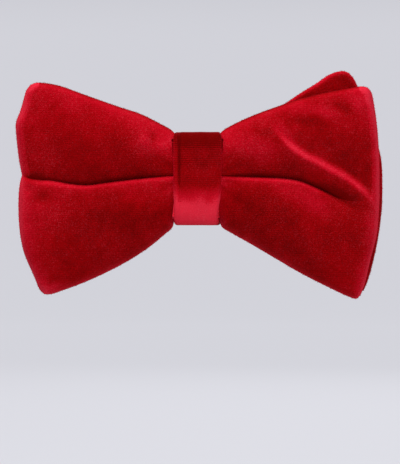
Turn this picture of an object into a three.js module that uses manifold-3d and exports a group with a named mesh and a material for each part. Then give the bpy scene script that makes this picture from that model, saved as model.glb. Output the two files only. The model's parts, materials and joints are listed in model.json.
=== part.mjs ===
// A ready-tied velvet bow tie on an adjustable satin neckband with a hook, an eye and a slide.
// Millimetres. The origin is the centre of the knot's flat back, +X is to the right of someone who
// faces the wearer, +Y points back through the neck and +Z is up.
import * as THREE from "three";
import { mergeVertices } from "three/addons/utils/BufferGeometryUtils.js";
import Module from "manifold-3d";

const wasm = await Module();
wasm.setup();

// ---- Driving dimensions ----
const CLOTH_GAP = 0.3; // between layers that lie on each other
const THREAD = 0.25; // radius of sewing thread
const STITCH_GAP = 0.1; // between a stitch and the cloth it lies on

// The knot: a velvet wrap with a lining strip inside it.
const KNOT = {
  width: 16,
  height: 31.4,
  depth: 22.2,
  wall: 1.5,
  lining: 0.5,
  liningInset: 2,
  frontRound: 4,
  backRound: 3,
};
const SEAM_GROOVE = { z: -9, height: 1.8, depth: 1 }; // where the wrap's ends meet, at the back

// The bows are stacked behind the knot's front: depths of each layer, front and back, along Y.
const WAIST = { halfWidth: 9.2, halfHeight: 11.8 };
const FRONT_BOW = {
  face: [-18.5, -11.6],
  crown: 1.5,
  recess: -13.1,
  interlining: [-12.8, -11.9],
  back: [-11.3, -9.9],
};
const BACK_BOW = {
  face: [-9.5, -7.1],
  crown: 0.8,
  recess: -8.3,
  interlining: [-8, -7.4],
  back: [-6.8, -5.4],
};
const RECESS_INSET = 2.25; // the interlining's pocket, in from the outline
const INTERLINING_INSET = 2.6;
const PLEAT = { depth: 4.6, halfWidth: 2.6 }; // the fold across each front wing

// The neckband runs on one circle round the neck, apart from its straight middle in the knot.
const BAND = { radius: 62, width: 16, thickness: 0.9, middleY: -3.2, middleHalf: 9.6 };
const FOLD_IN = 0.8; // inner radius where the band folds round a bar
const BAR_N = -(BAND.thickness / 2 + FOLD_IN); // a bar's place, inwards from the band
const HINGE_ANGLE = 9.8; // degrees from the front to where each half of the band bends away
const CLASP_ANGLE = 270; // degrees from the front, round by the right, to the clasp
const SLIDE_ANGLE = 200;
const BAND_CENTRE_Y = BAND.middleY + Math.sqrt(BAND.radius ** 2 - 10 ** 2);
const WIRE = 0.45; // radius of the hook's and the slide's round bars
const METAL_HALF = 10.2; // half height of the hook, the eye and the slide
const WINDOW_HALF = 8.6; // half height of their windows
const EYE = { bar: 1, length: 11 };
const HOOK = { bar: -10, tipHalf: 6, reach: 2.5, plate: 0.85 }; // bar and reach are along s from the clasp
const SLIDE = { half: 7, bar: 1.6, outerN: [0.8, 1.6], tail: 14 };
const TURN_IN = 16; // length of the short band's sewn end
const RETURN_STUB = 4; // of the returning layer that stays with the fold
const LOOP = { inner: 0.75, outer: 1.3, half: 0.85 }; // the end loop's radii and its sewn part's half depth
const BAND_STEP = 6; // length of the straight pieces that follow the circle
const LABEL = { angles: [312, 332], halfHeight: 6, thickness: 0.35 };
const BINDING = { radius: 0.4, turns: 3, width: 4 };

// ---- Outlines: [x, z, corner radius], anticlockwise as seen from the front ----
const FRONT_OUTLINE = [
  [WAIST.halfWidth, -WAIST.halfHeight, 0],
  [WAIST.halfWidth, -16.4, 0],
  [30, -28.8, 14],
  [53.6, -41.4, 3.2],
  [59.2, -20, 14],
  [60.9, -2, 16],
  [59.9, 17, 12],
  [57.6, 31, 4.2],
  [34, 25.9, 14],
  [18, 21.2, 8],
  [WAIST.halfWidth, 16, 0],
  [WAIST.halfWidth, WAIST.halfHeight, 0],
  [-WAIST.halfWidth, WAIST.halfHeight, 0],
  [-WAIST.halfWidth, 16.4, 0],
  [-20, 22, 8],
  [-42, 28.6, 12],
  [-57, 33.2, 4.6],
  [-60.9, 18.6, 3.4],
  [-58.4, 1.2, 3.2],
  [-60.1, -12, 9],
  [-57.6, -26, 12],
  [-52.6, -41, 3.4],
  [-31, -32.2, 14],
  [-12, -20.2, 4],
  [-WAIST.halfWidth, -16.8, 0],
  [-WAIST.halfWidth, -WAIST.halfHeight, 0],
];
const BACK_OUTLINE = [
  [WAIST.halfWidth, -WAIST.halfHeight, 0],
  [WAIST.halfWidth, -15, 0],
  [55.8, -38.4, 3.4],
  [60.4, -20, 14],
  [61.6, 4, 14],
  [58.6, 20, 12],
  [50.8, 37, 3.6],
  [27, 24, 12],
  [WAIST.halfWidth, 15, 0],
  [WAIST.halfWidth, WAIST.halfHeight, 0],
  [-WAIST.halfWidth, WAIST.halfHeight, 0],
  [-WAIST.halfWidth, 15, 0],
  [-54, 28, 5],
  [-58, 12, 12],
  [-57.6, -14, 12],
  [-51, -34.6, 4],
  [-WAIST.halfWidth, -15, 0],
  [-WAIST.halfWidth, -WAIST.halfHeight, 0],
];
// The fold's valley across each front wing, as [x, z].
const LEFT_VALLEY = [[-9.8, 0.5], [-22, -1], [-37, -2], [-52, -0.8], [-64, 1]];
const RIGHT_VALLEY = [[9.8, 0.3], [22, -0.6], [32, -2.6], [41, -6], [48, -10]];

// ---- Solids ----

const axes = (x, y, z) => new THREE.Matrix4().makeBasis(...[x, y, z].map((v) => new THREE.Vector3(...v)));
const UPWARDS = new THREE.Matrix4(); // an outline in X and Y, extruded up Z
const FORWARDS = axes([1, 0, 0], [0, 0, 1], [0, -1, 0]); // in X and Z, extruded towards the front
const ACROSS = axes([0, 1, 0], [0, 0, 1], [1, 0, 0]); // in Y and Z, extruded along X

function solidOf(geometry) {
  const bare = geometry.index ? geometry.toNonIndexed() : geometry.clone();
  bare.deleteAttribute("normal");
  bare.deleteAttribute("uv");
  const merged = mergeVertices(bare, 1e-4);
  return new wasm.Manifold(
    new wasm.Mesh({
      numProp: 3,
      vertProperties: merged.attributes.position.array,
      triVerts: new Uint32Array(merged.index.array),
    }),
  );
}

function geometryOf(solid) {
  const mesh = solid.getMesh();
  const positions = new Float32Array(mesh.numVert * 3);
  for (let i = 0; i < mesh.numVert; i++)
    positions.set(mesh.vertProperties.subarray(i * mesh.numProp, i * mesh.numProp + 3), i * 3);
  const geometry = new THREE.BufferGeometry();
  geometry.setAttribute("position", new THREE.BufferAttribute(positions, 3));
  geometry.setIndex(new THREE.BufferAttribute(mesh.triVerts, 1));
  geometry.computeVertexNormals();
  return geometry;
}

function joined(solids) {
  return solids.reduce((whole, solid) => whole.add(solid));
}

function block(width, depth, height, x = 0, y = 0, z = 0) {
  return solidOf(new THREE.BoxGeometry(width, depth, height).translate(x, y, z));
}

// A straight solid of an outline, with an optional hole and edges eased by a bevel.
function prism(points, from, to, frame, { hole, bevel = 0 } = {}) {
  const shape = new THREE.Shape(points);
  if (hole) shape.holes.push(new THREE.Path(hole));
  const geometry = new THREE.ExtrudeGeometry(shape, {
    depth: to - from - 2 * bevel,
    bevelEnabled: bevel > 0,
    bevelThickness: bevel,
    bevelSize: bevel,
    bevelOffset: -bevel,
    bevelSegments: 2,
  });
  return solidOf(geometry.translate(0, 0, from + bevel).applyMatrix4(frame));
}

// An outline's points, with each corner rounded by a curve that starts its radius away.
function rounded(corners, steps = 3) {
  const path = new THREE.Path();
  corners.forEach(([x, y, radius], i) => {
    const before = corners[(i + corners.length - 1) % corners.length];
    const after = corners[(i + 1) % corners.length];
    const towards = (other) => {
      const length = Math.hypot(other[0] - x, other[1] - y);
      const share = Math.min(radius, length * 0.45) / length;
      return [x + (other[0] - x) * share, y + (other[1] - y) * share];
    };
    if (i === 0) path.moveTo(...towards(before));
    else path.lineTo(...towards(before));
    if (radius > 0) path.quadraticCurveTo(x, y, ...towards(after));
  });
  const points = path.getPoints(steps);
  return points.filter((p, i) => p.distanceTo(points[(i + 1) % points.length]) > 1e-3);
}

// The same corners moved inwards from both of their edges.
function inset(corners, distance) {
  return corners.map(([x, y, radius], i) => {
    const inward = ([ax, ay], [bx, by]) => new THREE.Vector2(ay - by, bx - ax).normalize();
    const before = inward(corners[(i + corners.length - 1) % corners.length], corners[i]);
    const after = inward(corners[i], corners[(i + 1) % corners.length]);
    const reach = distance / (1 + before.dot(after));
    return [x + (before.x + after.x) * reach, y + (before.y + after.y) * reach, radius];
  });
}

// A rod along a smooth line of points.
function rod(points, radius, sides = 6, stepsEach = 2) {
  const line = new THREE.CatmullRomCurve3(points.map((p) => new THREE.Vector3(...p)), false, "catmullrom", 0.2);
  const section = new THREE.Shape(
    Array.from({ length: sides }, (_, i) => {
      const angle = (i * 2 * Math.PI) / sides;
      return new THREE.Vector2(radius * Math.cos(angle), radius * Math.sin(angle));
    }),
  );
  const steps = (points.length - 1) * stepsEach;
  return solidOf(new THREE.ExtrudeGeometry(section, { steps, extrudePath: line }));
}

// ---- The bows ----

// A layer of a bow between two depths, front and back.
function layer(outline, distance, [front, back], bevel = 0) {
  return prism(rounded(inset(outline, distance)), -back, -front, FORWARDS, { bevel });
}

// The velvet face turns back round the edge and has a pocket for its interlining.
function bowFace(outline, { face, recess }, crown) {
  const [front, seam] = face;
  const behind = block(200, 40, 200, 0, seam + 20, 0);
  return layer(outline, 0, [front, seam + 2 * crown], crown)
    .subtract(behind)
    .subtract(layer(outline, RECESS_INSET, [recess, seam + 1]));
}

// A groove with straight sides down to the valley of a fold, cut from the front of a wing.
function pleat(valley) {
  const depth = FRONT_BOW.face[0] + PLEAT.depth;
  const line = new THREE.CatmullRomCurve3(valley.map(([x, z]) => new THREE.Vector3(x, depth, z)));
  const rise = PLEAT.depth + 1;
  const run = (PLEAT.halfWidth * rise) / PLEAT.depth;
  const section = new THREE.Shape([
    new THREE.Vector2(0, 0),
    new THREE.Vector2(rise, -run),
    new THREE.Vector2(rise, run),
  ]);
  return solidOf(new THREE.ExtrudeGeometry(section, { steps: 10, extrudePath: line }));
}

const frontFace = bowFace(FRONT_OUTLINE, FRONT_BOW, FRONT_BOW.crown)
  .subtract(pleat(LEFT_VALLEY))
  .subtract(pleat(RIGHT_VALLEY));

// ---- The knot ----

// The knot's loop in Y and Z, moved in from its outside.
function knotLoop(distance) {
  const half = KNOT.height / 2;
  const [front, back] = [KNOT.frontRound, KNOT.backRound].map((radius) => Math.max(radius - distance, 0.8));
  const corners = [
    [-KNOT.depth, half, front],
    [-KNOT.depth, -half, front],
    [0, -half, back],
    [0, half, back],
  ];
  return rounded(inset(corners, distance), 4);
}

function wrap(outside, inside, halfWidth) {
  return prism(knotLoop(outside), -halfWidth, halfWidth, ACROSS, { hole: knotLoop(inside) });
}

const knotInner = KNOT.wall + CLOTH_GAP;
const knotVelvet = wrap(0, KNOT.wall, KNOT.width / 2).subtract(
  block(KNOT.width + 2, 2 * SEAM_GROOVE.depth, SEAM_GROOVE.height, 0, 0, SEAM_GROOVE.z),
);
const knotInterlining = wrap(knotInner, knotInner + KNOT.lining, KNOT.width / 2 - KNOT.liningInset);

// The ladder of stitches that closes the wrap, sunk in its seam.
function knotStitch() {
  const count = 8;
  const swing = SEAM_GROOVE.height / 2 - THREAD - STITCH_GAP;
  return rod(
    Array.from({ length: count + 1 }, (_, i) => {
      const x = (KNOT.width - 3) * (i / count - 0.5);
      return [x, -SEAM_GROOVE.depth / 2, SEAM_GROOVE.z + (i % 2 ? swing : -swing)];
    }),
    THREAD,
  );
}

// Thread wound round the gathered waist of both bows, under the knot.
function waistBinding() {
  const away = BINDING.radius + CLOTH_GAP;
  const front = FRONT_BOW.face[0] - away;
  const back = BACK_BOW.back[1] + away;
  const half = WAIST.halfHeight + away;
  const corner = 0.6;
  const loop = rounded(
    [[front, half, corner], [front, -half, corner], [back, -half, corner], [back, half, corner]],
    3,
  );
  const count = BINDING.turns * loop.length;
  return rod(
    Array.from({ length: count + 1 }, (_, i) => {
      const { x: y, y: z } = loop[i % loop.length];
      return [BINDING.width * (i / count - 0.5), y, z];
    }),
    BINDING.radius,
    6,
    1,
  );
}

// ---- The neckband, in its own coordinates: s along its circle and n outwards from it ----

const along = (degrees) => THREE.MathUtils.degToRad(degrees) * BAND.radius;

function bandPoint(s, n) {
  const angle = s / BAND.radius;
  const radius = BAND.radius + n;
  return [radius * Math.sin(angle), BAND_CENTRE_Y - radius * Math.cos(angle)];
}

// An outline in s and n that follows the circle and stands from z0 to z1.
function upright(outline, z0, z1) {
  const points = outline.flatMap(([s, n], i) => {
    const [nextS, nextN] = outline[(i + 1) % outline.length];
    const count = Math.max(1, Math.ceil(Math.abs(nextS - s) / BAND_STEP));
    return Array.from({ length: count }, (_, k) => {
      const share = k / count;
      return new THREE.Vector2(...bandPoint(s + (nextS - s) * share, n + (nextN - n) * share));
    });
  });
  return prism(points, z0, z1, UPWARDS);
}

function rectangle(a0, a1, b0, b1) {
  return [[a0, b0], [a1, b0], [a1, b1], [a0, b1]];
}

function arc(s, n, radius, from, to, steps = 6) {
  return Array.from({ length: steps + 1 }, (_, i) => {
    const angle = THREE.MathUtils.degToRad(from + ((to - from) * i) / steps);
    return [s + radius * Math.cos(angle), n + radius * Math.sin(angle)];
  });
}

function bar(s, n, radius, halfHeight) {
  return upright(arc(s, n, radius, 0, 315, 7), -halfHeight, halfHeight);
}

const HALF_BAND = BAND.width / 2;
const OUT = BAND.thickness / 2;
const FOLD_OUT = FOLD_IN + BAND.thickness;
const START_S = along(HINGE_ANGLE);
const END_S = along(360 - HINGE_ANGLE);
const CLASP_S = along(CLASP_ANGLE);
const SLIDE_S = along(SLIDE_ANGLE);
const HOOK_FOLD_S = CLASP_S + HOOK.bar;
const EYE_FOLD_S = CLASP_S + EYE.length - EYE.bar;

const bandCentre = block(2 * BAND.middleHalf, BAND.thickness, BAND.width, 0, BAND.middleY, 0);

// The long half: its outer layer, the fold round the hook's bar and the start of what returns.
const bandLong = upright(
  [
    ...arc(START_S, 0, OUT, 270, 90),
    ...arc(HOOK_FOLD_S, BAR_N, FOLD_OUT, 90, -90),
    [HOOK_FOLD_S - RETURN_STUB, BAR_N - FOLD_OUT],
    [HOOK_FOLD_S - RETURN_STUB, BAR_N - FOLD_IN],
    ...arc(HOOK_FOLD_S, BAR_N, FOLD_IN, -90, 90),
  ],
  -HALF_BAND,
  HALF_BAND,
);
const bandReturn = upright(
  rectangle(
    SLIDE_S + SLIDE.tail + CLOTH_GAP,
    HOOK_FOLD_S - RETURN_STUB - CLOTH_GAP,
    BAR_N - FOLD_OUT,
    BAR_N - FOLD_IN,
  ),
  -HALF_BAND,
  HALF_BAND,
);

// The short half: the fold round the eye's bar, its sewn end inside and the outer layer.
const bandShort = upright(
  [
    ...arc(END_S, 0, OUT, 90, -90),
    ...arc(EYE_FOLD_S, BAR_N, FOLD_IN, 90, 270),
    [EYE_FOLD_S + TURN_IN, BAR_N - FOLD_IN],
    [EYE_FOLD_S + TURN_IN, BAR_N - FOLD_OUT],
    ...arc(EYE_FOLD_S, BAR_N, FOLD_OUT, 270, 90),
  ],
  -HALF_BAND,
  HALF_BAND,
);

// Zigzag stitching across the band at s, on a surface at n that faces the neck.
function barTack(s, n) {
  const count = 10;
  return rod(
    Array.from({ length: count + 1 }, (_, i) => {
      const z = (BAND.width - 3) * (i / count - 0.5);
      return [...bandPoint(s + (i % 2 ? 0.9 : -0.9), n - STITCH_GAP - THREAD), z];
    }),
    THREAD,
  );
}

// The eye: a flat frame with the short band round one side and the hook over the other.
function eye() {
  const far = CLASP_S + EYE.length;
  const frame = rectangle(CLASP_S - EYE.bar / 2, far - EYE.bar / 2, BAR_N - EYE.bar / 2, BAR_N + EYE.bar / 2);
  const window = rectangle(CLASP_S + EYE.bar / 2, far - (3 * EYE.bar) / 2, BAR_N - EYE.bar, BAR_N + EYE.bar);
  return upright(frame, -METAL_HALF, METAL_HALF).subtract(upright(window, -WINDOW_HALF, WINDOW_HALF));
}

// The hook: a round bar between two cheeks, a plate outside the eye and a splayed tongue through it.
function hook() {
  const t = (value) => CLASP_S + value;
  const under = OUT - HOOK.plate;
  const cheek = [
    [t(HOOK.bar - 0.7), BAR_N - 0.6],
    [t(HOOK.bar + 0.8), BAR_N - 0.6],
    [t(-6.6), under],
    [t(-6.6), OUT],
    [t(HOOK.bar - 0.2), OUT],
    [t(HOOK.bar - 0.7), BAR_N + 0.8],
  ];
  const tongue = [
    [t(HOOK.reach - 0.9), OUT],
    [t(HOOK.reach - 0.9), -2.3],
    [t(0.5), -4.1],
    [t(1.2), -4.6],
    [t(HOOK.reach), -2.5],
    [t(HOOK.reach), OUT],
  ];
  return joined([
    bar(t(HOOK.bar), BAR_N, WIRE, WINDOW_HALF + 0.4),
    upright(cheek, WINDOW_HALF, METAL_HALF),
    upright(cheek, -METAL_HALF, -WINDOW_HALF),
    upright(rectangle(t(-7.8), t(-4.5), under, OUT), -METAL_HALF, METAL_HALF),
    upright(rectangle(t(-5), t(HOOK.reach), under, OUT), -HOOK.tipHalf, HOOK.tipHalf),
    upright(tongue, -HOOK.tipHalf, HOOK.tipHalf),
  ]);
}

// The slide: two flat bars outside the band, a round one inside it and rails that join them.
const SLIDE_BAR_N = BAR_N - FOLD_IN - WIRE;
function slide() {
  const [low, high] = SLIDE.outerN;
  const t = (value) => SLIDE_S + value;
  const rail = [
    [t(-SLIDE.half), low],
    [t(-2.4), low],
    [t(-1.1), SLIDE_BAR_N - 0.6],
    [t(1.1), SLIDE_BAR_N - 0.6],
    [t(2.4), low],
    [t(SLIDE.half), low],
    [t(SLIDE.half), high],
    [t(-SLIDE.half), high],
  ];
  const flatBar = (from) =>
    upright(rectangle(t(from), t(from + SLIDE.bar), low, high), -METAL_HALF, METAL_HALF);
  return joined([
    flatBar(-SLIDE.half),
    flatBar(SLIDE.half - SLIDE.bar),
    bar(t(0), SLIDE_BAR_N, WIRE, WINDOW_HALF + 0.4),
    upright(rail, WINDOW_HALF, METAL_HALF),
    upright(rail, -METAL_HALF, -WINDOW_HALF),
  ]);
}

// The band's end, folded round the slide's inner bar and sewn to itself.
function endLoop() {
  const t = (value) => SLIDE_S + value;
  const outside = [
    ...arc(t(0), SLIDE_BAR_N, LOOP.outer, 90, 270),
    [t(3.4), SLIDE_BAR_N - LOOP.half],
    [t(SLIDE.tail), SLIDE_BAR_N - LOOP.half],
    [t(SLIDE.tail), SLIDE_BAR_N + LOOP.half],
    [t(3.4), SLIDE_BAR_N + LOOP.half],
  ];
  return upright(outside, -HALF_BAND, HALF_BAND).subtract(
    bar(t(0), SLIDE_BAR_N, LOOP.inner, HALF_BAND + 1),
  );
}

function label() {
  const outer = -OUT - STITCH_GAP;
  const [from, to] = LABEL.angles.map(along);
  return upright(rectangle(from, to, outer - LABEL.thickness, outer), -LABEL.halfHeight, LABEL.halfHeight);
}

// ---- Materials ----

function finish(color, roughness, metalness = 0) {
  return new THREE.MeshStandardMaterial({ color, roughness, metalness });
}
const velvet = finish(0x9c0614, 0.95);
const canvas = finish(0xe9e2d2, 0.9);
const satin = finish(0x9a0a18, 0.45);
const sewing = finish(0x7d0812, 0.7);
const nickel = finish(0xc9c9c6, 0.25, 1);
const woven = finish(0x1c1a1b, 0.6);

const NODES = {
  front_bow_face: [frontFace, velvet],
  front_bow_interlining: [layer(FRONT_OUTLINE, INTERLINING_INSET, FRONT_BOW.interlining), canvas],
  front_bow_back: [layer(FRONT_OUTLINE, 0.2, FRONT_BOW.back), velvet],
  back_bow_face: [bowFace(BACK_OUTLINE, BACK_BOW, BACK_BOW.crown), velvet],
  back_bow_interlining: [layer(BACK_OUTLINE, INTERLINING_INSET, BACK_BOW.interlining), canvas],
  back_bow_back: [layer(BACK_OUTLINE, 0.2, BACK_BOW.back), velvet],
  knot_velvet: [knotVelvet, velvet],
  knot_interlining: [knotInterlining, canvas],
  knot_closing_stitch: [knotStitch(), sewing],
  waist_binding_thread: [waistBinding(), sewing],
  band_centre: [bandCentre, satin],
  band_short: [bandShort, satin],
  band_short_bar_tack: [barTack(EYE_FOLD_S + 5, BAR_N - FOLD_OUT), sewing],
  eye: [eye(), nickel],
  blank_label: [label(), woven],
  band_long: [bandLong, satin],
  hook: [hook(), nickel],
  band_return: [bandReturn, satin],
  slide_buckle: [slide(), nickel],
  band_end_loop: [endLoop(), satin],
  band_end_bar_tack: [barTack(SLIDE_S + 9, SLIDE_BAR_N - 0.85), sewing],
};

const bowTie = new THREE.Group();
for (const [name, [solid, material]] of Object.entries(NODES)) {
  const mesh = new THREE.Mesh(geometryOf(solid), material);
  mesh.name = name;
  bowTie.add(mesh);
}

export default bowTie;
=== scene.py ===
"""A ready-tied velvet bow tie: cloth, thread, neckband and metal fittings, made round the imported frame."""

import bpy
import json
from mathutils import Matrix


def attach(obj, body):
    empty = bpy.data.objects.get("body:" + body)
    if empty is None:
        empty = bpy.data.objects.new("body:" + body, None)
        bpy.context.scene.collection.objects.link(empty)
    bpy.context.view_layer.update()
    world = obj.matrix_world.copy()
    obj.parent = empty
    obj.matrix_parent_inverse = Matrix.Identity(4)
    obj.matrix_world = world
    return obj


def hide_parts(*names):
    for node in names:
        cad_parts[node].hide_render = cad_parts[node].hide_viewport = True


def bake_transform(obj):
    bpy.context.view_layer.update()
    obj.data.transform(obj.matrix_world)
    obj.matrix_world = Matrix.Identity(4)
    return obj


bl_info = {
    "name": "Velvet Bow Tie",
    "version": (1, 0, 0),
    "blender": (4, 5, 0),
    "location": "View3D > Sidebar > Bow Tie",
    "description": "Makes a ready-tied velvet bow tie with its neckband and fittings",
    "category": "Object",
}

import json
import math
from functools import partial

import bpy
import numpy as np
from mathutils import Vector

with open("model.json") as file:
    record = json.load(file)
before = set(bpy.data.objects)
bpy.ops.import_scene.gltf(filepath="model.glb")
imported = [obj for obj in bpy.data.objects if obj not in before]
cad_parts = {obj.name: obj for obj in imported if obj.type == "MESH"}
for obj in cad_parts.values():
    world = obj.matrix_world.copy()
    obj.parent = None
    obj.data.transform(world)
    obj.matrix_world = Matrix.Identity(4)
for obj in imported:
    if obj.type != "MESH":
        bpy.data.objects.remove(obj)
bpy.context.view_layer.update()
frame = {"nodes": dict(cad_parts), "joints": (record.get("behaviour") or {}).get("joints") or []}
MM = 0.001

# ---- The neckband, in millimetres: s runs along its circle, n outwards from it and z up ----
JOINTS = {joint["name"]: joint for joint in frame["joints"]}
RING_CENTRE = Vector(JOINTS["slide_travel"]["pos_m"]) / MM
LONG_HINGE = Vector(JOINTS["band_open"]["pos_m"]) / MM
RING_RADIUS = (LONG_HINGE - RING_CENTRE).length
BAND_WIDTH = 16.0
BAND_THICKNESS = 0.9
BAND_FACE = BAND_THICKNESS / 2
BAND_MIDDLE_Y = -3.2
# The inside radius of a fold round a bar, and how far in the bars of the clasp and of the slide lie.
FOLD_IN = 0.8
BAR_N = -(BAND_FACE + FOLD_IN)
SLIDE_BAR_N = BAR_N - FOLD_IN - BAND_FACE
CLASP_ANGLE = 270.0
SLIDE_ANGLE = 200.0
LABEL_ANGLES = (312.0, 332.0)


# ---- Settings ----


def hex_colour(code):
    """A colour's linear red, green, blue and alpha from its sRGB hex code."""
    channels = [int(code[i : i + 2], 16) / 255 for i in (1, 3, 5)]
    return tuple(c / 12.92 if c <= 0.04045 else ((c + 0.055) / 1.055) ** 2.4 for c in channels) + (1.0,)


def colour_property(name, description, code):
    return bpy.props.FloatVectorProperty(
        name=name, description=description, subtype="COLOR", size=4, min=0, max=1, default=hex_colour(code)
    )


def length_property(name, description, value):
    """A length setting, from its value in millimetres."""
    return bpy.props.FloatProperty(
        name=name, description=description, default=value * MM, min=0, unit="LENGTH", precision=5
    )


class BowTieVelvetSettings(bpy.types.PropertyGroup):
    """The velvet of both bows and of the knot."""

    # Painted shade and painted light: the shaded and lit pile are the same crimson in shade and in light.
    shaded_pile: colour_property("Shaded pile", "Pile that leans away and shows its depth", "#A80006")
    lit_pile: colour_property("Lit pile", "Pile that is brushed up and shows its sides", "#D20A22")
    sheen_tint: colour_property("Sheen", "Light off the tips of the pile", "#FF1C34")
    cloth: length_property("Cloth", "Thickness of the velvet's ground and pile", 0.7)
    pile_spacing: length_property("Pile spacing", "Tuft to tuft, as coarse as it needs to show", 0.42)


class BowTieBowSettings(bpy.types.PropertyGroup):
    """The two sewn bows."""

    front_depth: length_property("Front depth", "Height of the front bow's lobes over its seam", 7.6)
    edge_depth: length_property("Edge depth", "Height of the turned edge over the seam", 2.3)
    edge_round: length_property("Edge rounding", "Width over which the edge turns back", 2.0)
    fold_share: bpy.props.FloatProperty(
        name="Fold", description="Share of the height that a fold loses", default=0.6, min=0, max=1
    )


class BowTieBandSettings(bpy.types.PropertyGroup):
    """The satin neckband, its thread and its metal fittings."""

    satin: colour_property("Satin", "The band's satin ribbon", "#8C0814")
    thread: colour_property("Thread", "Sewing thread", "#8C0E1A")
    nickel: colour_property("Nickel", "Plating on the hook, the eye and the slide", "#D9D6CF")


class BowTieStageSettings(bpy.types.PropertyGroup):
    """The camera and the backdrop."""

    distance: bpy.props.FloatProperty(
        name="Distance", description="Camera to bow", default=0.65, unit="LENGTH"
    )
    span: bpy.props.FloatProperty(
        name="Span", description="Height of the view at the bow", default=0.155, unit="LENGTH"
    )
    backdrop: colour_property("Backdrop", "Pale floor and wall", "#D8D8DF")


# ---- Materials; a noise scale is how many features of it fit in a metre ----

NOISE = "ShaderNodeTexNoise"
MATH = "ShaderNodeMath"
MAP_RANGE = "ShaderNodeMapRange"
HUE = "ShaderNodeHueSaturation"
BUMP = "ShaderNodeBump"
COORDINATES = "ShaderNodeTexCoord"


def set_inputs(node, inputs):
    """Sets a node's inputs to values, or links them where the value is a socket."""
    for name, value in inputs.items():
        if isinstance(value, bpy.types.NodeSocket):
            node.id_data.links.new(value, node.inputs[name])
        else:
            node.inputs[name].default_value = value


def add_node(tree, kind, inputs=None, output=0, **settings):
    """Adds a node with its settings and links, and gives back one of its outputs."""
    node = tree.nodes.new(kind)
    for name, value in settings.items():
        setattr(node, name, value)
    set_inputs(node, inputs or {})
    return node.outputs[output]


def new_material(name):
    """A material, the function that adds nodes to it, and its shader."""
    material = bpy.data.materials.new(name)
    material.use_nodes = True
    tree = material.node_tree
    return material, partial(add_node, tree), tree.nodes["Principled BSDF"]


def set_stops(colour, stops):
    """Sets the stops of the ramp that a colour comes from, and gives the colour back."""
    elements = colour.node.color_ramp.elements
    elements[0].position, elements[0].color = stops[0]
    elements[1].position, elements[1].color = stops[-1]
    for position, stop in stops[1:-1]:
        elements.new(position).color = stop
    return colour


def velvet_material():
    """Crimson cotton velvet with painted light and shade: a shaded copy of the crimson where the painted light
    is low, a lit copy where it is high, and painted glints.
    """
    settings = bpy.context.scene.bow_tie_velvet
    material, node, shader = new_material("crimson_cotton_velvet")
    place = node(COORDINATES, output="Object")
    painted_light_and_tone = node("ShaderNodeAttribute", output="Fac", attribute_name="painted_light_and_tone")
    rib = node("ShaderNodeAttribute", output="Fac", attribute_name="rib")
    # Tufts of pile, and patches of about 5 mm that are brushed one way or the other.
    density = 1 / settings.pile_spacing
    tufts = node(NOISE, {"Vector": place, "Scale": density, "Detail": 3.0, "Roughness": 0.7})
    brushed = node(NOISE, {"Vector": place, "Scale": 190.0, "Detail": 5.0, "Roughness": 0.65})
    # Rows of tufts along the weft, seven tenths of a millimetre apart.
    height = node("ShaderNodeSeparateXYZ", {"Vector": place}, "Z")
    turn = node(MATH, {0: height, 1: 2 * math.pi / (0.7 * MM)}, operation="MULTIPLY")
    row = node(MATH, {0: turn}, operation="SINE")
    ribbed = node(MATH, {0: row, 1: rib}, operation="MULTIPLY")
    uneven = node(MATH, {0: brushed, 1: 0.4}, operation="ADD")
    rows = node(MATH, {0: ribbed, 1: uneven}, operation="MULTIPLY")
    # Painted glints where tips would catch the light, under half a millimetre across, in loose patches of
    # about 12 mm.
    glint_noise = node(NOISE, {"Vector": place, "Scale": 2300.0, "Detail": 2.0, "Roughness": 0.6})
    patch = node(NOISE, {"Vector": place, "Scale": 80.0, "Detail": 2.0})
    clustered_glint_noise = node(MATH, {0: patch, 1: 0.22, 2: glint_noise}, operation="MULTIPLY_ADD")
    painted_glint_mask = node(MAP_RANGE, {"Value": clustered_glint_noise, "From Min": 0.66, "From Max": 1.02})
    # The painted light and shade at each point, broken up by tufts, patches and rows, picks between the
    # painted shade and painted light of the pile.
    painted_lightness = painted_light_and_tone
    for pattern, strength in ((tufts, 0.9), (brushed, 0.22)):
        offset = node(MATH, {0: pattern, 1: -0.5}, operation="ADD")
        painted_lightness = node(MATH, {0: offset, 1: strength, 2: painted_lightness}, operation="MULTIPLY_ADD")
    painted_lightness = node(MATH, {0: painted_lightness, 1: rows}, operation="ADD")
    # The ramp runs from painted deep shade through the shaded and lit pile to a painted highlight.
    pile = set_stops(node("ShaderNodeValToRGB", {"Fac": painted_lightness}), [
        (0.0, hex_colour("#780000")),
        (0.35, settings.shaded_pile),
        (0.75, settings.lit_pile),
        (1.0, hex_colour("#EE283E")),
    ])
    # The painted glints are stronger where the painted light is higher.
    painted_glint_strength = node(MATH, {0: painted_light_and_tone, 1: 0.8, 2: 0.15}, operation="MULTIPLY_ADD", use_clamp=True)
    painted_glint = node(MATH, {0: painted_glint_mask, 1: painted_glint_strength}, operation="MULTIPLY", use_clamp=True)
    # The mix's colours are its inputs 6 and 7, and its colour is output 2.
    # A pale pink painted glint is mixed over the pile's colour.
    pile_with_painted_glints = {"Factor": painted_glint, 6: pile, 7: hex_colour("#F04A5A")}
    relief = node(MATH, {0: rows, 1: 0.6, 2: tufts}, operation="MULTIPLY_ADD")
    set_inputs(shader, {
        "Base Color": node("ShaderNodeMix", pile_with_painted_glints, 2, data_type="RGBA"),
        "Roughness": 0.95,
        "Specular IOR Level": 0.03,
        "Sheen Weight": 0.6,
        "Sheen Roughness": 0.3,
        "Sheen Tint": settings.sheen_tint,
        "Normal": node(BUMP, {"Height": relief, "Strength": 0.6, "Distance": 0.3 * MM}),
    })
    return material


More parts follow.
